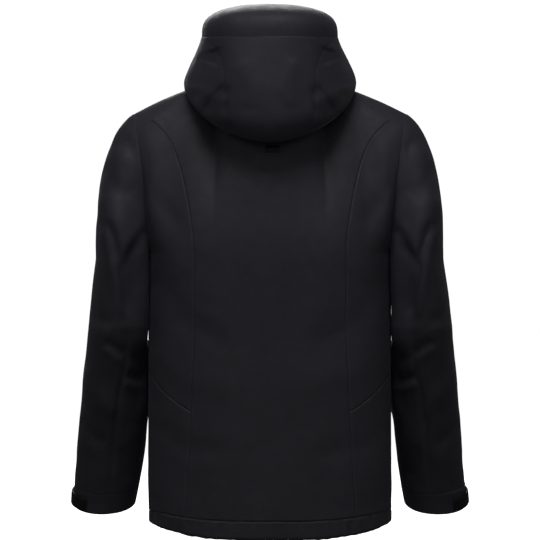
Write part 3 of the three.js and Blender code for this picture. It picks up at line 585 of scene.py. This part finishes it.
def strokes(points, normals, folds, shift=0.004, share=0.8):
    """Height of the folds that show from behind, on both halves, the right ones a little different."""
    x, z = points[..., 0], points[..., 2]
    facing = smooth(0.0, 0.45, normals[..., 1])
    total = np.zeros(x.shape)
    for k, (width, high, step, line) in enumerate(folds):
        line = np.array(line)
        wobble = shift * noise(points, 0.05, 30 + k)
        right = line + shift * np.array([math.sin(3.1 * k + 1), math.cos(2.3 * k)])
        for sign, path in ((1, line), (-1, right)):
            far, side, along = line_distance(x * sign + wobble, z + 0.7 * wobble, path)
            fade = smooth(0, 0.16, along) * smooth(0, 0.16, 1 - along) * 0.85 + 0.15
            near = (x * sign > -0.02).astype(float)
            shape = np.exp(-(far / width) ** 2)
            ridge = np.exp(-((far * side - width * 1.25) / width) ** 2) * step
            total += near * fade * (high * shape - high * ridge)
    return total * facing * share


def soft_body(points, normals):
    """Wide swells and short creases of a thin stiff laminate over a hollow form."""
    stretched = points * np.array([1.0, 1.0, 0.55])
    diagonal = points @ np.array([[0.8, 0, 0.6], [0, 1, 0], [-0.25, 0, 0.35]])
    swell = 0.0022 * noise(stretched, 0.12, 1) + 0.0010 * noise(diagonal, 0.045, 2)
    return swell + 0.0003 * noise(points, 0.017, 4)


def calm_edges(points):
    """Less relief towards the hem band, where the cloth is held."""
    return 1 - 0.75 * smooth(CALM_Z[0], CALM_Z[1], points[..., 2])


def body_relief(points, normals):
    return soft_body(points, normals) * calm_edges(points) + strokes(points, normals, BACK_FOLDS)


def front_relief(points, normals):
    middle = smooth(0.011, 0.045, np.abs(points[..., 0]))
    return soft_body(points, normals) * calm_edges(points) * middle * 0.8


def small_relief(points, normals):
    return 0.35 * soft_body(points, normals)


def sleeve_relief(points, normals):
    along = points @ np.array([[0.9, 0, 0.5], [0, 1, 0], [-0.4, 0, 0.6]])
    soft = 0.0020 * noise(along, 0.055, 7) + 0.0007 * noise(points, 0.024, 8)
    top = smooth(-0.032, -0.075, points[..., 2])
    return soft * top + strokes(points, normals, SLEEVE_FOLDS, 0.003)


def hood_relief(points, normals):
    soft = 0.0015 * noise(points * np.array([1, 1, 0.8]), 0.06, 11) + 0.0005 * noise(points, 0.02, 12)
    far, _, _ = line_distance(np.abs(points[..., 0]), points[..., 2], HOOD_SEAM)
    seam = -0.0009 * np.exp(-(far / 0.0016) ** 2) * smooth(0.2, 0.5, normals[..., 1])
    return soft + seam + strokes(points, normals, HOOD_FOLDS, 0.003, 0.6)


def hem_relief(points, normals):
    """The band is drawn in by its cord, so it puckers along its whole length."""
    narrow = points * np.array([1.0, 1.0, 0.28])
    return 0.0011 * noise(narrow, 0.008, 14) + 0.0007 * noise(narrow, 0.019, 15)


# ---- the cloth ------------------------------------------------------------------------------------
CELL = 0.0045
cloth_pieces = []


def sewn(name, surface, columns, rows, side, seams, relief, nodes, body_name="torso", **more):
    piece = cloth(name, surface, columns, rows, side, seams, relief, **more)
    cloth_pieces.append(piece)
    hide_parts(*nodes)
    if body_name:
        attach(piece, body_name)
    return piece


sewn("back_cloth", back_surface, ticks(0.29, CELL), ticks(0.75, CELL), -1, "lrb", body_relief, ["back_panel"])
for name, sign in SIDES:
    sewn(f"slanted_{name}_cloth", slanted_side, ticks(0.14, CELL), ticks(0.45, CELL), -1, "lrb",
         body_relief, [f"back_side_panel_{name}"], sign=sign, quiet="r")
    sewn(f"lower_side_{name}_cloth", lower_side, ticks(0.13, CELL), ticks(0.2, CELL), -1, "lrbt",
         body_relief, [f"side_panel_{name}"], sign=sign, quiet="r")
    sewn(f"front_{name}_cloth", front_surface, ticks(0.3, 0.006), ticks(0.72, 0.006), 1, "lrbt",
         front_relief, [f"front_panel_{name}"], sign=sign, quiet="r")
    sewn(f"yoke_{name}_cloth", yoke_surface, ticks(0.16, CELL), ticks(0.13, CELL), -1, "lrbt",
         small_relief, [f"shoulder_yoke_{name}"], sign=sign, quiet="r")

# The arm is cut between the shoulder's bend and the elbow's.
SPLIT = -0.338


def side_of_body(y, z):
    """How far out the body reaches at that depth and height."""
    depth = np.where(y > SIDE_SEAM_Y, BACK_Y - SIDE_SEAM_Y, zip_y(z) - SIDE_SEAM_Y)
    along = np.clip((y - SIDE_SEAM_Y) / depth, 0, 0.9) ** (1 / OVAL)
    return HALF * np.sqrt(1 - along ** 2) ** OVAL


def hang_close(p):
    """The sleeve drapes round the side of the body: behind it above the elbow, before it below."""
    x, y, z = p[..., 0], p[..., 1], p[..., 2]
    near = 1 - smooth(0.226, 0.262, x)
    high = smooth(-0.455, -0.42, z) * (1 - smooth(-0.22, -0.16, z)) * smooth(-0.08, -0.06, y)
    high = high * (1 - smooth(-0.028, -0.004, y))
    low = (1 - smooth(-0.44, -0.405, z)) * smooth(-0.575, -0.52, z) * (1 - smooth(-0.09, -0.07, y))
    wanted = np.maximum(side_of_body(y, z) + 0.0024, x - 0.017)
    share = near * np.clip(high + low, 0, 1)
    p[..., 0] = np.where(wanted < x, mix(x, wanted, share), x)
    return p


def arm_surface(low, high):
    def surface(s, t):
        turn = s * 2 * math.pi
        return hang_close(sleeve_point(np.mod(turn, 2 * math.pi), mix(low(turn), high(turn), t)))
    return surface


def split_share(turn):
    return sleeve_share(turn, SPLIT)


def cuff_share(turn):
    return sleeve_share(turn, sleeve_end(turn) + CUFF_TALL)


for name, sign in SIDES:
    upper = arm_surface(lambda a: -1 + 0 * a, split_share)
    lower = arm_surface(split_share, cuff_share)
    cuff = arm_surface(cuff_share, lambda a: 1 + 0 * a)
    round_arm = np.linspace(0, 1, 110)
    arm = sewn(f"upper_arm_{name}_cloth", upper, round_arm, np.linspace(0, 1, 62), -1, "b", sleeve_relief,
               [f"sleeve_head_{name}", f"upper_sleeve_{name}"], None, sign=sign, closed=True, quiet="b")
    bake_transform(arm)
    fore = sewn(f"fore_arm_{name}_cloth", lower, round_arm, np.linspace(0, 1, 84), -1, "", sleeve_relief,
                [f"elbow_panel_{name}", f"forearm_sleeve_{name}"], None, sign=sign, closed=True)
    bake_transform(fore)
    sewn(f"cuff_{name}_cloth", cuff, round_arm, ticks(0.038, 0.003, (0.001, 0.0024)), -1, "bt",
         lambda p, n: 0.3 * sleeve_relief(p, n), [f"cuff_band_{name}"], f"forearm_{name}", sign=sign,
         closed=True)

# ---- hood -----------------------------------------------------------------------------------------
BRIM_REACH = 0.034
# The crown starts a little below its own seam, so that no light comes through there.
CROWN_SKIRT = -0.045


def hood_sheet(s, t):
    spread, w = 2 * s - 1, mix(-1, 1, t)
    return hood_wall(spread * face_edge(w), w)


HOOD_SEAM = ((0.114, 0.097), (0.092, 0.075), (0.080, 0.045), (0.077, -0.024), (0.069, -0.074))


def hood_piece(piece):
    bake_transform(piece)


def brim_surface(s, t):
    spread = mix(-1, 1, s)
    angle = math.pi - np.abs(spread) * (math.pi - face_edge(1))
    root = crown_ring(angle)
    reach = BRIM_REACH * np.maximum(np.cos(spread * math.pi / 2), 0) ** 0.7
    return pack(-np.sign(spread) * root[..., 0], root[..., 1] - t * (reach + 0.002) + 0.0015,
                root[..., 2] - 0.0015 - 0.35 * t * reach)


hood_piece(sewn("hood_wall_cloth", hood_sheet, np.linspace(0, 1, 250), ticks(0.4, 0.0035), -1, "lrt",
                hood_relief, ["hood_neck", "hood_center_back", "hood_side_left", "hood_side_right"], None))
crown_rows = mix(CROWN_SKIRT, 0.999, ticks(0.12, 0.0035))
hood_piece(sewn("hood_crown_cloth", crown_surface, np.linspace(0, 1, 190), crown_rows, -1, "b",
                lambda p, n: 0.6 * hood_relief(p, n), ["hood_crown"], None, closed=True))
hood_piece(sewn("hood_brim_cloth", brim_surface, np.linspace(0.004, 0.996, 80), ticks(BRIM_REACH, 0.003), 1,
                "b", None, ["hood_brim"], None, thickness=0.0022))


# ---- collar, hem and trims -------------------------------------------------------------------------
COLLAR_END = math.pi - math.asin(FRONT_EDGE / NECK_HALF)
CHIN_START = 2.72
CHIN_TALL = 0.026


def collar_point(angle, height):
    lean = mix(-0.2, ZIP_SLOPE, (1 - np.cos(angle)) / 2)
    ring = neck_ring(np.abs(angle))
    ring[..., 0] *= np.where(angle < 0, -1, 1)
    return ring + pack(0 * angle, lean * height, height)


def collar_rise(angle):
    return mix(COLLAR_TALL, ZIP_Z0 - NECK_FRONT_Z, (1 - np.cos(angle)) / 2)


def collar_surface(s, t):
    angle = mix(-COLLAR_END, COLLAR_END, s)
    return collar_point(angle, t * collar_rise(angle))


def chin_surface(s, t):
    angle = mix(CHIN_START, COLLAR_END, s)
    rise = collar_rise(angle)
    return collar_point(angle, rise - CHIN_TALL * (1 - t))


sewn("collar_cloth", collar_surface, ticks(0.5, 0.005), ticks(0.08, 0.004), -1, "bt", small_relief,
     ["collar"], thickness=0.0016)
sewn("chin_guard_cloth", chin_surface, ticks(0.035, 0.003), ticks(CHIN_TALL, 0.003), -1, "lrbt", None,
     ["chin_guard"], lift=-0.0022, thickness=0.0011)

HEM_START = float(_front_u[2])


def hem_point(around, height):
    back = np.abs(around) <= 1
    u = np.where(back, np.abs(around), mix(HEM_START, 1, 2 - np.abs(around)))
    behind = lower_body(u, hem_z(u, 1) + height, 1)
    ahead = lower_body(u, hem_z(u, -1) + height, -1)
    p = np.where(back[..., None], behind, ahead)
    p[..., 0] *= np.where(around < 0, -1, 1)
    return p


def hem_inward(around):
    along = hem_point(np.clip(around + 0.004, -2, 2), 0) - hem_point(np.clip(around - 0.004, -2, 2), 0)
    return unit(pack(along[..., 1], -along[..., 0], 0))


def hem_surface(s, t):
    around = np.clip(mix(-2, 2, s), -2, 2)
    back = np.abs(around) <= 1
    u = np.where(back, np.abs(around), mix(HEM_START, 1, 2 - np.abs(around)))
    tall = np.where(back, hem_tall(u, 1), hem_tall(u, -1))
    radius = HEM_FOLD / 2
    turn = np.clip((t - 0.4) / 0.2, 0, 1) * math.pi
    height = np.where(t < 0.4, mix(tall, radius, t / 0.4),
                      np.where(t > 0.6, mix(radius, tall, (t - 0.6) / 0.4), radius * (1 - np.sin(turn))))
    return hem_point(around, height) + hem_inward(around) * (radius * (1 - np.cos(turn)))[..., None]


sewn("hem_cloth", hem_surface, ticks(1.36, 0.0032), np.linspace(0, 1, 40), 1, "b", hem_relief, ["hem_band"])


def tube(name, path, radius, sides=10):
    """A closed round tube along a path, with flat ends."""
    way = unit(np.gradient(path, axis=0))
    up = np.tile([0.0, 0.0, 1.0], (len(path), 1))
    first = unit(np.cross(way, up))
    second = np.cross(first, way)
    angle = np.linspace(0, 2 * math.pi, sides, endpoint=False)[None, :, None]
    ring = path[:, None] + radius * (first[:, None] * np.cos(angle) + second[:, None] * np.sin(angle))
    count = len(path)
    at = np.arange(count * sides).reshape(count, sides)
    nxt = np.roll(at, -1, axis=1)
    faces = np.stack([at[:-1], at[1:], nxt[1:], nxt[:-1]], -1).reshape(-1, 4).tolist()
    faces += [at[0].tolist(), at[-1][::-1].tolist()]
    mesh = bpy.data.meshes.new(name)
    mesh.from_pydata(ring.reshape(-1, 3).tolist(), [], faces)
    mesh.shade_smooth()
    return placed(name, mesh)


def trimmed(node, body_name, bevel):
    """A copy of a CAD trim with its edges rounded, in the node's place."""
    source = bpy.data.objects[node]
    mesh = source.data.copy()
    mesh.transform(source.matrix_world)
    mesh.materials.clear()
    piece = placed(f"{node}_shaped", mesh)
    work = bmesh.new()
    work.from_mesh(mesh)
    bmesh.ops.remove_doubles(work, verts=work.verts, dist=1e-6)
    bmesh.ops.dissolve_limit(work, angle_limit=math.radians(1), verts=work.verts, edges=work.edges)
    sharp = [e for e in work.edges if e.is_manifold and e.calc_face_angle() > math.radians(35)]
    bmesh.ops.bevel(work, geom=sharp, offset=bevel, offset_type="OFFSET", segments=3, profile=0.6,
                    affect="EDGES", clamp_overlap=True)
    work.to_mesh(mesh)
    work.free()
    mesh.shade_smooth()
    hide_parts(node)
    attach(piece, body_name)
    return piece


CORD_END = 1.97
CORD_HEIGHT = 0.0048
CORD_INWARD = 0.0055
CORD_RADIUS = 0.0014

around_hem = np.linspace(-CORD_END, CORD_END, 420)
cord_path = hem_point(around_hem, CORD_HEIGHT) + CORD_INWARD * hem_inward(around_hem)
drawcord = tube("drawcord_braid", cord_path, CORD_RADIUS)
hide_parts("hem_drawcord")
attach(drawcord, "torso")
soft_trims = [drawcord]
hard_trims = []
metal_trims = []
tape_trims = []


TEETH_LENGTH = 0.70
TEETH_HALF = 0.0032
TEETH_PITCH = 0.0026


def zip_teeth(name, start, down, across_way, length, half, pitch):
    """Block teeth on both sides of a closed zip, as one mesh."""
    count = int(length / pitch)
    out = np.cross(across_way, down)
    corner = np.array([(x, y, z) for x in (-1, 1) for y in (-1, 1) for z in (-1, 1)], float)
    quads = np.array([(0, 1, 3, 2), (4, 6, 7, 5), (0, 4, 5, 1), (2, 3, 7, 6), (0, 2, 6, 4), (1, 5, 7, 3)])
    points, faces = [], []
    for k in range(2 * count):
        side = 1 if k % 2 else -1
        middle = start + down * (k // 2 + 0.5 * (k % 2) + 0.4) * pitch + across_way * side * half * 0.32
        block = corner * np.array([half * 0.62, 0.0006, pitch * 0.3])
        block[:, 1] *= 1 - 0.3 * (corner[:, 0] == side)
        points.append(middle + block[:, :1] * across_way + block[:, 1:2] * out + block[:, 2:] * down)
        faces.append(quads + 8 * k)
    mesh = bpy.data.meshes.new(name)
    mesh.from_pydata(np.concatenate(points).tolist(), [], np.concatenate(faces).tolist())
    piece = placed(name, mesh)
    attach(piece, "torso")
    return piece


for name, sign in SIDES:
    tape_trims.append(trimmed(f"main_zip_tape_{name}", "torso", 0.0003))
    tape_trims.append(trimmed(f"pocket_zip_tape_{name}", "torso", 0.0003))
    metal_trims.append(trimmed(f"pocket_zip_slider_{name}", f"pocket_slider_{name}", 0.0009))
    hard_trims.append(trimmed(f"pocket_zip_pull_{name}", f"pocket_pull_{name}", 0.00045))
    hard_trims.append(trimmed(f"hem_cord_lock_{name}", "torso", 0.0012))
    hard_trims.append(trimmed(f"cord_lock_plunger_{name}", f"cord_plunger_{name}", 0.0006))
metal_trims.append(trimmed("main_zip_slider", "main_slider", 0.00055))
metal_trims.append(trimmed("zip_bottom_box", "torso", 0.0011))
hard_trims.append(trimmed("main_zip_pull", "main_pull", 0.0006))
tape_trims.append(trimmed("hang_loop", "torso", 0.0005))
tape_trims.append(trimmed("storm_flap", "torso", 0.0004))


ADJUSTER_V = (0.592, 0.634)
ADJUSTER_X = (-0.0164, 0.0080)
ADJUSTER_TALL = 0.013
ADJUSTER_NEAR = (0.0005, 0.0011, 0.0018)


def adjuster_surface(s, t):
    p = body(0 * s, mix(*ADJUSTER_V, t), 1)
    p[..., 0] = mix(*ADJUSTER_X, s)
    return p


adjuster_columns = ticks(ADJUSTER_X[1] - ADJUSTER_X[0], 0.0015, ADJUSTER_NEAR)
adjuster_rows = ticks(ADJUSTER_TALL, 0.0013, ADJUSTER_NEAR)
adjuster = cloth("hood_adjuster_moulded", adjuster_surface, adjuster_columns, adjuster_rows, -1, "lrbt", None,
                 thickness=0.0016, lift=0.0021)
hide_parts("hood_adjuster_tab")
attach(adjuster, "torso")
hard_trims.append(adjuster)


def tab_surface(turns, low, high):
    def surface(s, t):
        turn = mix(turns[0], turns[1], s)
        z = sleeve_end(turn) + mix(low, high, t)
        return sleeve_point(turn, sleeve_share(turn, z))
    return surface


def lifted(surface, side, height):
    """The surface moved along its own normal by height(s, t)."""
    def moved(s, t):
        points = surface(s, t)
        return points + grid_normals(points, side) * height(s, t)[..., None]
    return moved


def bag_surface(s, t):
    return lower_body(mix(0.25, 0.72, s), mix(-0.618, -0.405, t), -1)


def binding_surface(s, t):
    angle = face_edge(mix(pouch_top(math.pi), 1, t)) - mix(0.09, 0.004, s)
    return hood_wall(angle, mix(pouch_top(angle), 1, t))


def tab_height(s, t):
    corner = smooth(0.9, 1.0, s) * 0.0006
    return mix(0.0020, 0.0042, smooth(0, 0.35, s)) - corner


for name, sign in SIDES:
    tab = cloth(f"cuff_tab_{name}_moulded", lifted(tab_surface((-1.05, 1.0), 0.003, 0.025), 1, tab_height),
                ticks(0.12, 0.003), ticks(0.022, 0.002, (0.0008, 0.0018, 0.003)), 1, "lrbt",
                lambda p, n: 0.0002 * noise(p, 0.01, 21), sign=sign, thickness=0.0016, lift=0.0003)
    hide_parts(f"cuff_tab_{name}")
    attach(tab, f"cuff_tab_{name}")
    hard_trims.append(tab)
    for kind, rider, lift in (("loop", f"forearm_{name}", 0.0013), ("hook", f"cuff_tab_{name}", 0.0024)):
        patch = cloth(f"cuff_{kind}_{name}_pile", tab_surface((0.15, 0.85), 0.006, 0.022), ticks(0.05, 0.002),
                      ticks(0.016, 0.002), 1, "lrbt", lambda p, n: 0.0002 * noise(p, 0.0016, 22), sign=sign,
                      thickness=0.0008, lift=lift)
        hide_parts(f"cuff_{kind}_patch_{name}")
        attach(patch, rider)
        soft_trims.append(patch)
    bag = cloth(f"pocket_bag_{name}_cloth", bag_surface, ticks(0.11, 0.005), ticks(0.21, 0.005), 1, "lrbt",
                lambda p, n: 0.0008 * noise(p, 0.03, 23), sign=sign, thickness=0.0012, lift=-0.0042)
    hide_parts(f"pocket_bag_{name}")
    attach(bag, "torso")
    soft_trims.append(bag)
    edge = cloth(f"hood_binding_{name}_cloth", binding_surface, ticks(0.012, 0.0015, (0.0008,)),
                 ticks(0.11, 0.0035), -1, "lr", None, sign=sign, thickness=0.001, lift=0.0016)
    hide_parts(f"hood_face_binding_{name}")
    hood_piece(edge)
    soft_trims.append(edge)


# ---- materials ------------------------------------------------------------------------------------
class Nodes:
    """A material's node tree, written as calls that return output sockets."""

    def __init__(self, name):
        self.material = bpy.data.materials.new(name)
        self.material.use_nodes = True
        self.tree = self.material.node_tree
        self.shader = self.tree.nodes["Principled BSDF"]
        self.place = self.node("ShaderNodeTexCoord").outputs["Object"]

    def node(self, kind, **settings):
        made = self.tree.nodes.new(kind)
        for key, value in settings.items():
            setattr(made, key, value)
        return made

    def link(self, value, socket):
        if isinstance(value, bpy.types.NodeSocket):
            self.tree.links.new(value, socket)
        else:
            socket.default_value = value

    def maths(self, operation, a, b=0.5):
        made = self.node("ShaderNodeMath", operation=operation)
        self.link(a, made.inputs[0])
        self.link(b, made.inputs[1])
        return made.outputs[0]

    def noise(self, scale, detail=2.0, rough=0.5, stretch=(1, 1, 1)):
        moved = self.node("ShaderNodeMapping")
        self.link(self.place, moved.inputs["Vector"])
        moved.inputs["Scale"].default_value = stretch
        made = self.node("ShaderNodeTexNoise")
        self.link(moved.outputs[0], made.inputs["Vector"])
        made.inputs["Scale"].default_value = scale
        made.inputs["Detail"].default_value = detail
        made.inputs["Roughness"].default_value = rough
        return made.outputs[0]

    def wave(self, scale, direction="DIAGONAL", distort=1.5):
        made = self.node("ShaderNodeTexWave", bands_direction=direction)
        self.link(self.place, made.inputs["Vector"])
        made.inputs["Scale"].default_value = scale
        made.inputs["Distortion"].default_value = distort
        made.inputs["Detail Scale"].default_value = 2.0
        return made.outputs["Fac"]

    def field(self, name):
        return self.node("ShaderNodeAttribute", attribute_name=name).outputs["Fac"]

    def ramp(self, value, low, high, to_low=0.0, to_high=1.0):
        made = self.node("ShaderNodeMapRange", interpolation_type="SMOOTHSTEP")
        self.link(value, made.inputs["Value"])
        for key, number in zip(("From Min", "From Max", "To Min", "To Max"), (low, high, to_low, to_high)):
            made.inputs[key].default_value = number
        return made.outputs[0]

    def tint(self, share, first, second):
        made = self.node("ShaderNodeMix", data_type="RGBA")
        self.link(share, made.inputs["Factor"])
        for socket, value in ((made.inputs[6], first), (made.inputs[7], second)):
            self.link(value if isinstance(value, bpy.types.NodeSocket) else (*value, 1.0), socket)
        return made.outputs[2]

    def bump(self, height, distance, strength=1.0, under=None):
        made = self.node("ShaderNodeBump")
        self.link(height, made.inputs["Height"])
        made.inputs["Distance"].default_value = distance
        made.inputs["Strength"].default_value = strength
        if under is not None:
            self.link(under, made.inputs["Normal"])
        return made.outputs[0]

    def finish(self, colour, roughness, normal, sheen=0.0, specular=0.4, metallic=0.0):
        self.link(colour, self.shader.inputs["Base Color"])
        self.link(roughness, self.shader.inputs["Roughness"])
        self.link(normal, self.shader.inputs["Normal"])
        self.shader.inputs["Sheen Weight"].default_value = sheen
        self.shader.inputs["Sheen Roughness"].default_value = 0.45
        self.shader.inputs["Sheen Tint"].default_value = (0.75, 0.8, 1.0, 1.0)
        self.shader.inputs["Specular IOR Level"].default_value = specular
        self.shader.inputs["Metallic"].default_value = metallic
        return self.material


WEAVE = 620.0
STITCHES_PER_METRE = 360.0
STITCH_INSET = 0.0034


def shell_cloth(name, base, light):
    """Tightly woven face cloth: fine twill, faint wear at the sewn edges, stitched beside its seams."""
    m = Nodes(name)
    patches = m.ramp(m.noise(9, 4, 0.6), 0.3, 0.7)
    colour = m.tint(patches, base, light)
    fluff = m.ramp(m.noise(1600, 2, 0.7), 0.58, 0.8, 0.0, 0.35)
    colour = m.tint(fluff, colour, tuple(min(2.6 * c, 1) for c in light))
    twill = m.maths("ADD", m.wave(WEAVE), m.wave(WEAVE * 0.72, "X", 0.8))
    grain = m.maths("ADD", m.maths("MULTIPLY", twill, 0.5), m.noise(2400, 3, 0.6))
    normal = m.bump(grain, 0.00012, 0.8)
    normal = m.bump(m.noise(140, 5, 0.62), 0.0006, 0.5, normal)
    edge, run = m.field("edge"), m.field("run")
    worn = m.ramp(edge, 0.0004, 0.0026, 0.08, 0.0)
    colour = m.tint(m.maths("MULTIPLY", worn, m.noise(260, 3)), colour, tuple(2.4 * c for c in light))
    off_line = m.maths("ABSOLUTE", m.maths("SUBTRACT", edge, STITCH_INSET))
    beside = m.ramp(off_line, 0.00022, 0.00052, 1.0, 0.0)
    stitch = m.maths("FRACT", m.maths("MULTIPLY", run, STITCHES_PER_METRE))
    dash = m.ramp(m.maths("ABSOLUTE", m.maths("SUBTRACT", stitch, 0.5)), 0.34, 0.42, 1.0, 0.0)
    thread = m.maths("MULTIPLY", beside, dash)
    colour = m.tint(m.maths("MULTIPLY", thread, 0.2), colour, tuple(2.0 * c for c in light))
    normal = m.bump(thread, 0.0005, 0.9, normal)
    rough = m.ramp(m.noise(60, 4, 0.6), 0.25, 0.75, 0.56, 0.72)
    return m.finish(colour, rough, normal, sheen=0.035, specular=0.22)


def pile_cloth(name, base, light, scale=900.0, sheen=0.3):
    m = Nodes(name)
    lumps = m.noise(scale, 4, 0.7)
    colour = m.tint(m.ramp(lumps, 0.35, 0.7), base, light)
    normal = m.bump(m.maths("ADD", lumps, m.wave(scale * 0.8, "Z", 2.0)), 0.0004, 0.8)
    return m.finish(colour, m.ramp(m.noise(90, 3), 0.3, 0.7, 0.72, 0.88), normal, sheen=sheen, specular=0.3)


def moulded(name, base, light, rough):
    m = Nodes(name)
    colour = m.tint(m.ramp(m.noise(45, 4, 0.6), 0.35, 0.7), base, light)
    scuffs = m.ramp(m.noise(700, 3, 0.7, (1, 1, 0.2)), 0.6, 0.78, 0.0, 0.4)
    colour = m.tint(scuffs, colour, tuple(3 * c for c in light))
    normal = m.bump(m.noise(1800, 3, 0.6), 0.00008, 0.7)
    normal = m.bump(m.noise(60, 3), 0.0003, 0.35, normal)
    return m.finish(colour, m.ramp(m.noise(300, 4), 0.3, 0.7, *rough), normal, specular=0.2)


def worn_metal(name, base, light):
    m = Nodes(name)
    brushed = m.noise(900, 4, 0.6, (0.15, 1, 1))
    colour = m.tint(m.ramp(brushed, 0.35, 0.7), base, light)
    colour = m.tint(m.ramp(m.noise(120, 5, 0.7), 0.55, 0.7, 0.0, 0.5), colour, (0.16, 0.16, 0.17))
    rough = m.ramp(brushed, 0.3, 0.7, 0.28, 0.46)
    return m.finish(colour, rough, m.bump(brushed, 0.00006, 0.7), metallic=0.9)


shell = shell_cloth("softshell", (0.0150, 0.0144, 0.0196), (0.0190, 0.0183, 0.0242))
inner = pile_cloth("binding_cloth", (0.0060, 0.0060, 0.0078), (0.0100, 0.0100, 0.0125))
tape_cloth = pile_cloth("woven_tape", (0.0045, 0.0045, 0.0055), (0.0085, 0.0085, 0.0100), 1500.0, 0.12)
rubber = moulded("matte_rubber", (0.0020, 0.0020, 0.0024), (0.0036, 0.0036, 0.0042), (0.5, 0.66))
dark_metal = worn_metal("dark_metal", (0.035, 0.035, 0.04), (0.07, 0.07, 0.075))

teeth_start = np.array([0.0, ZIP_Y0 - 0.0004, ZIP_Z0 - 0.001])
teeth = zip_teeth("main_zip_teeth", teeth_start, unit(np.array([0, -ZIP_SLOPE, -1.0])), np.array([1.0, 0, 0]),
                  TEETH_LENGTH, TEETH_HALF, TEETH_PITCH)
metal_trims.append(teeth)

for group, material in ((cloth_pieces, shell), (soft_trims, inner), (tape_trims, tape_cloth),
                        (hard_trims, rubber), (metal_trims, dark_metal)):
    for piece in group:
        piece.data.materials.append(material)


# ---- studio ---------------------------------------------------------------------------------------
CAMERA_FAR = 7.0
CAMERA_Z = -0.301
HALF_VIEW = 0.4645
FLOOR_Z = -0.80


def plain(name, colour, rough):
    m = Nodes(name)
    return m.finish(m.tint(m.ramp(m.noise(3, 3), 0.3, 0.7), colour, tuple(0.985 * c for c in colour)), rough,
                    m.bump(m.noise(900, 2), 0.00005, 0.3), specular=0.2)


def board(name, size, place, turn, material):
    bpy.ops.mesh.primitive_plane_add(size=size, location=place, rotation=turn)
    made = bpy.context.active_object
    made.name = name
    made.data.materials.append(material)
    return made


pale = plain("pale_floor", (0.5, 0.5, 0.5), 0.7)
glow = pale.node_tree.nodes["Principled BSDF"]
glow.inputs["Emission Color"].default_value = (1, 1, 1, 1)
glow.inputs["Emission Strength"].default_value = 0.96
floor = board("floor", 60, (0, 0, FLOOR_Z), (0, 0, 0), pale)
floor.visible_diffuse = False
floor.visible_glossy = False


def lamp(name, place, aim, size, power, colour=(1, 1, 1)):
    data = bpy.data.lights.new(name, "AREA")
    data.shape = "RECTANGLE"
    data.size, data.size_y = size
    data.energy = power
    data.color = colour
    made = placed(name, data)
    made.location = place
    made.rotation_euler = (Vector(aim) - Vector(place)).to_track_quat("-Z", "Y").to_euler()


lamp("top_soft", (0.1, 1.1, 2.1), (0, 0.05, -0.15), (1.5, 0.9), 44)
lamp("key_back_left", (2.3, 1.9, 1.3), (0.1, 0, -0.2), (0.7, 0.9), 6, (1.0, 0.99, 0.97))
lamp("key_back_right", (-2.4, 1.8, 1.2), (-0.1, 0, -0.2), (0.7, 0.9), 6, (0.96, 0.98, 1.0))
lamp("fill_behind", (0.3, 4.2, 0.4), (0, 0, -0.3), (1.6, 1.6), 17)
lamp("front_soft", (0.4, -3.0, 1.4), (0, 0, -0.3), (1.6, 1.6), 95)

world = bpy.data.worlds.new("white_room")
bpy.context.scene.world = world
world.use_nodes = True
tree = world.node_tree
back = tree.nodes["Background"]
back.inputs["Color"].default_value = (1, 1, 1, 1)
back.inputs["Strength"].default_value = 0.10
seen = tree.nodes.new("ShaderNodeBackground")
seen.inputs["Color"].default_value = (1, 1, 1, 1)
seen.inputs["Strength"].default_value = 1.05
path = tree.nodes.new("ShaderNodeLightPath")
blend = tree.nodes.new("ShaderNodeMixShader")
tree.links.new(path.outputs["Is Camera Ray"], blend.inputs[0])
tree.links.new(back.outputs[0], blend.inputs[1])
tree.links.new(seen.outputs[0], blend.inputs[2])
tree.links.new(blend.outputs[0], tree.nodes["World Output"].inputs["Surface"])

camera_data = bpy.data.cameras.new("camera")
camera = placed("camera", camera_data)
camera.location = (0.0, CAMERA_FAR, CAMERA_Z)
camera.rotation_euler = (math.radians(90), 0, math.radians(180))
camera_data.angle = 2 * math.atan(HALF_VIEW / CAMERA_FAR)
camera_data.clip_end = 60
bpy.context.scene.camera = camera

scene = bpy.context.scene
scene.view_settings.view_transform = "Standard"
scene.view_settings.look = "None"
scene.render.film_transparent = False
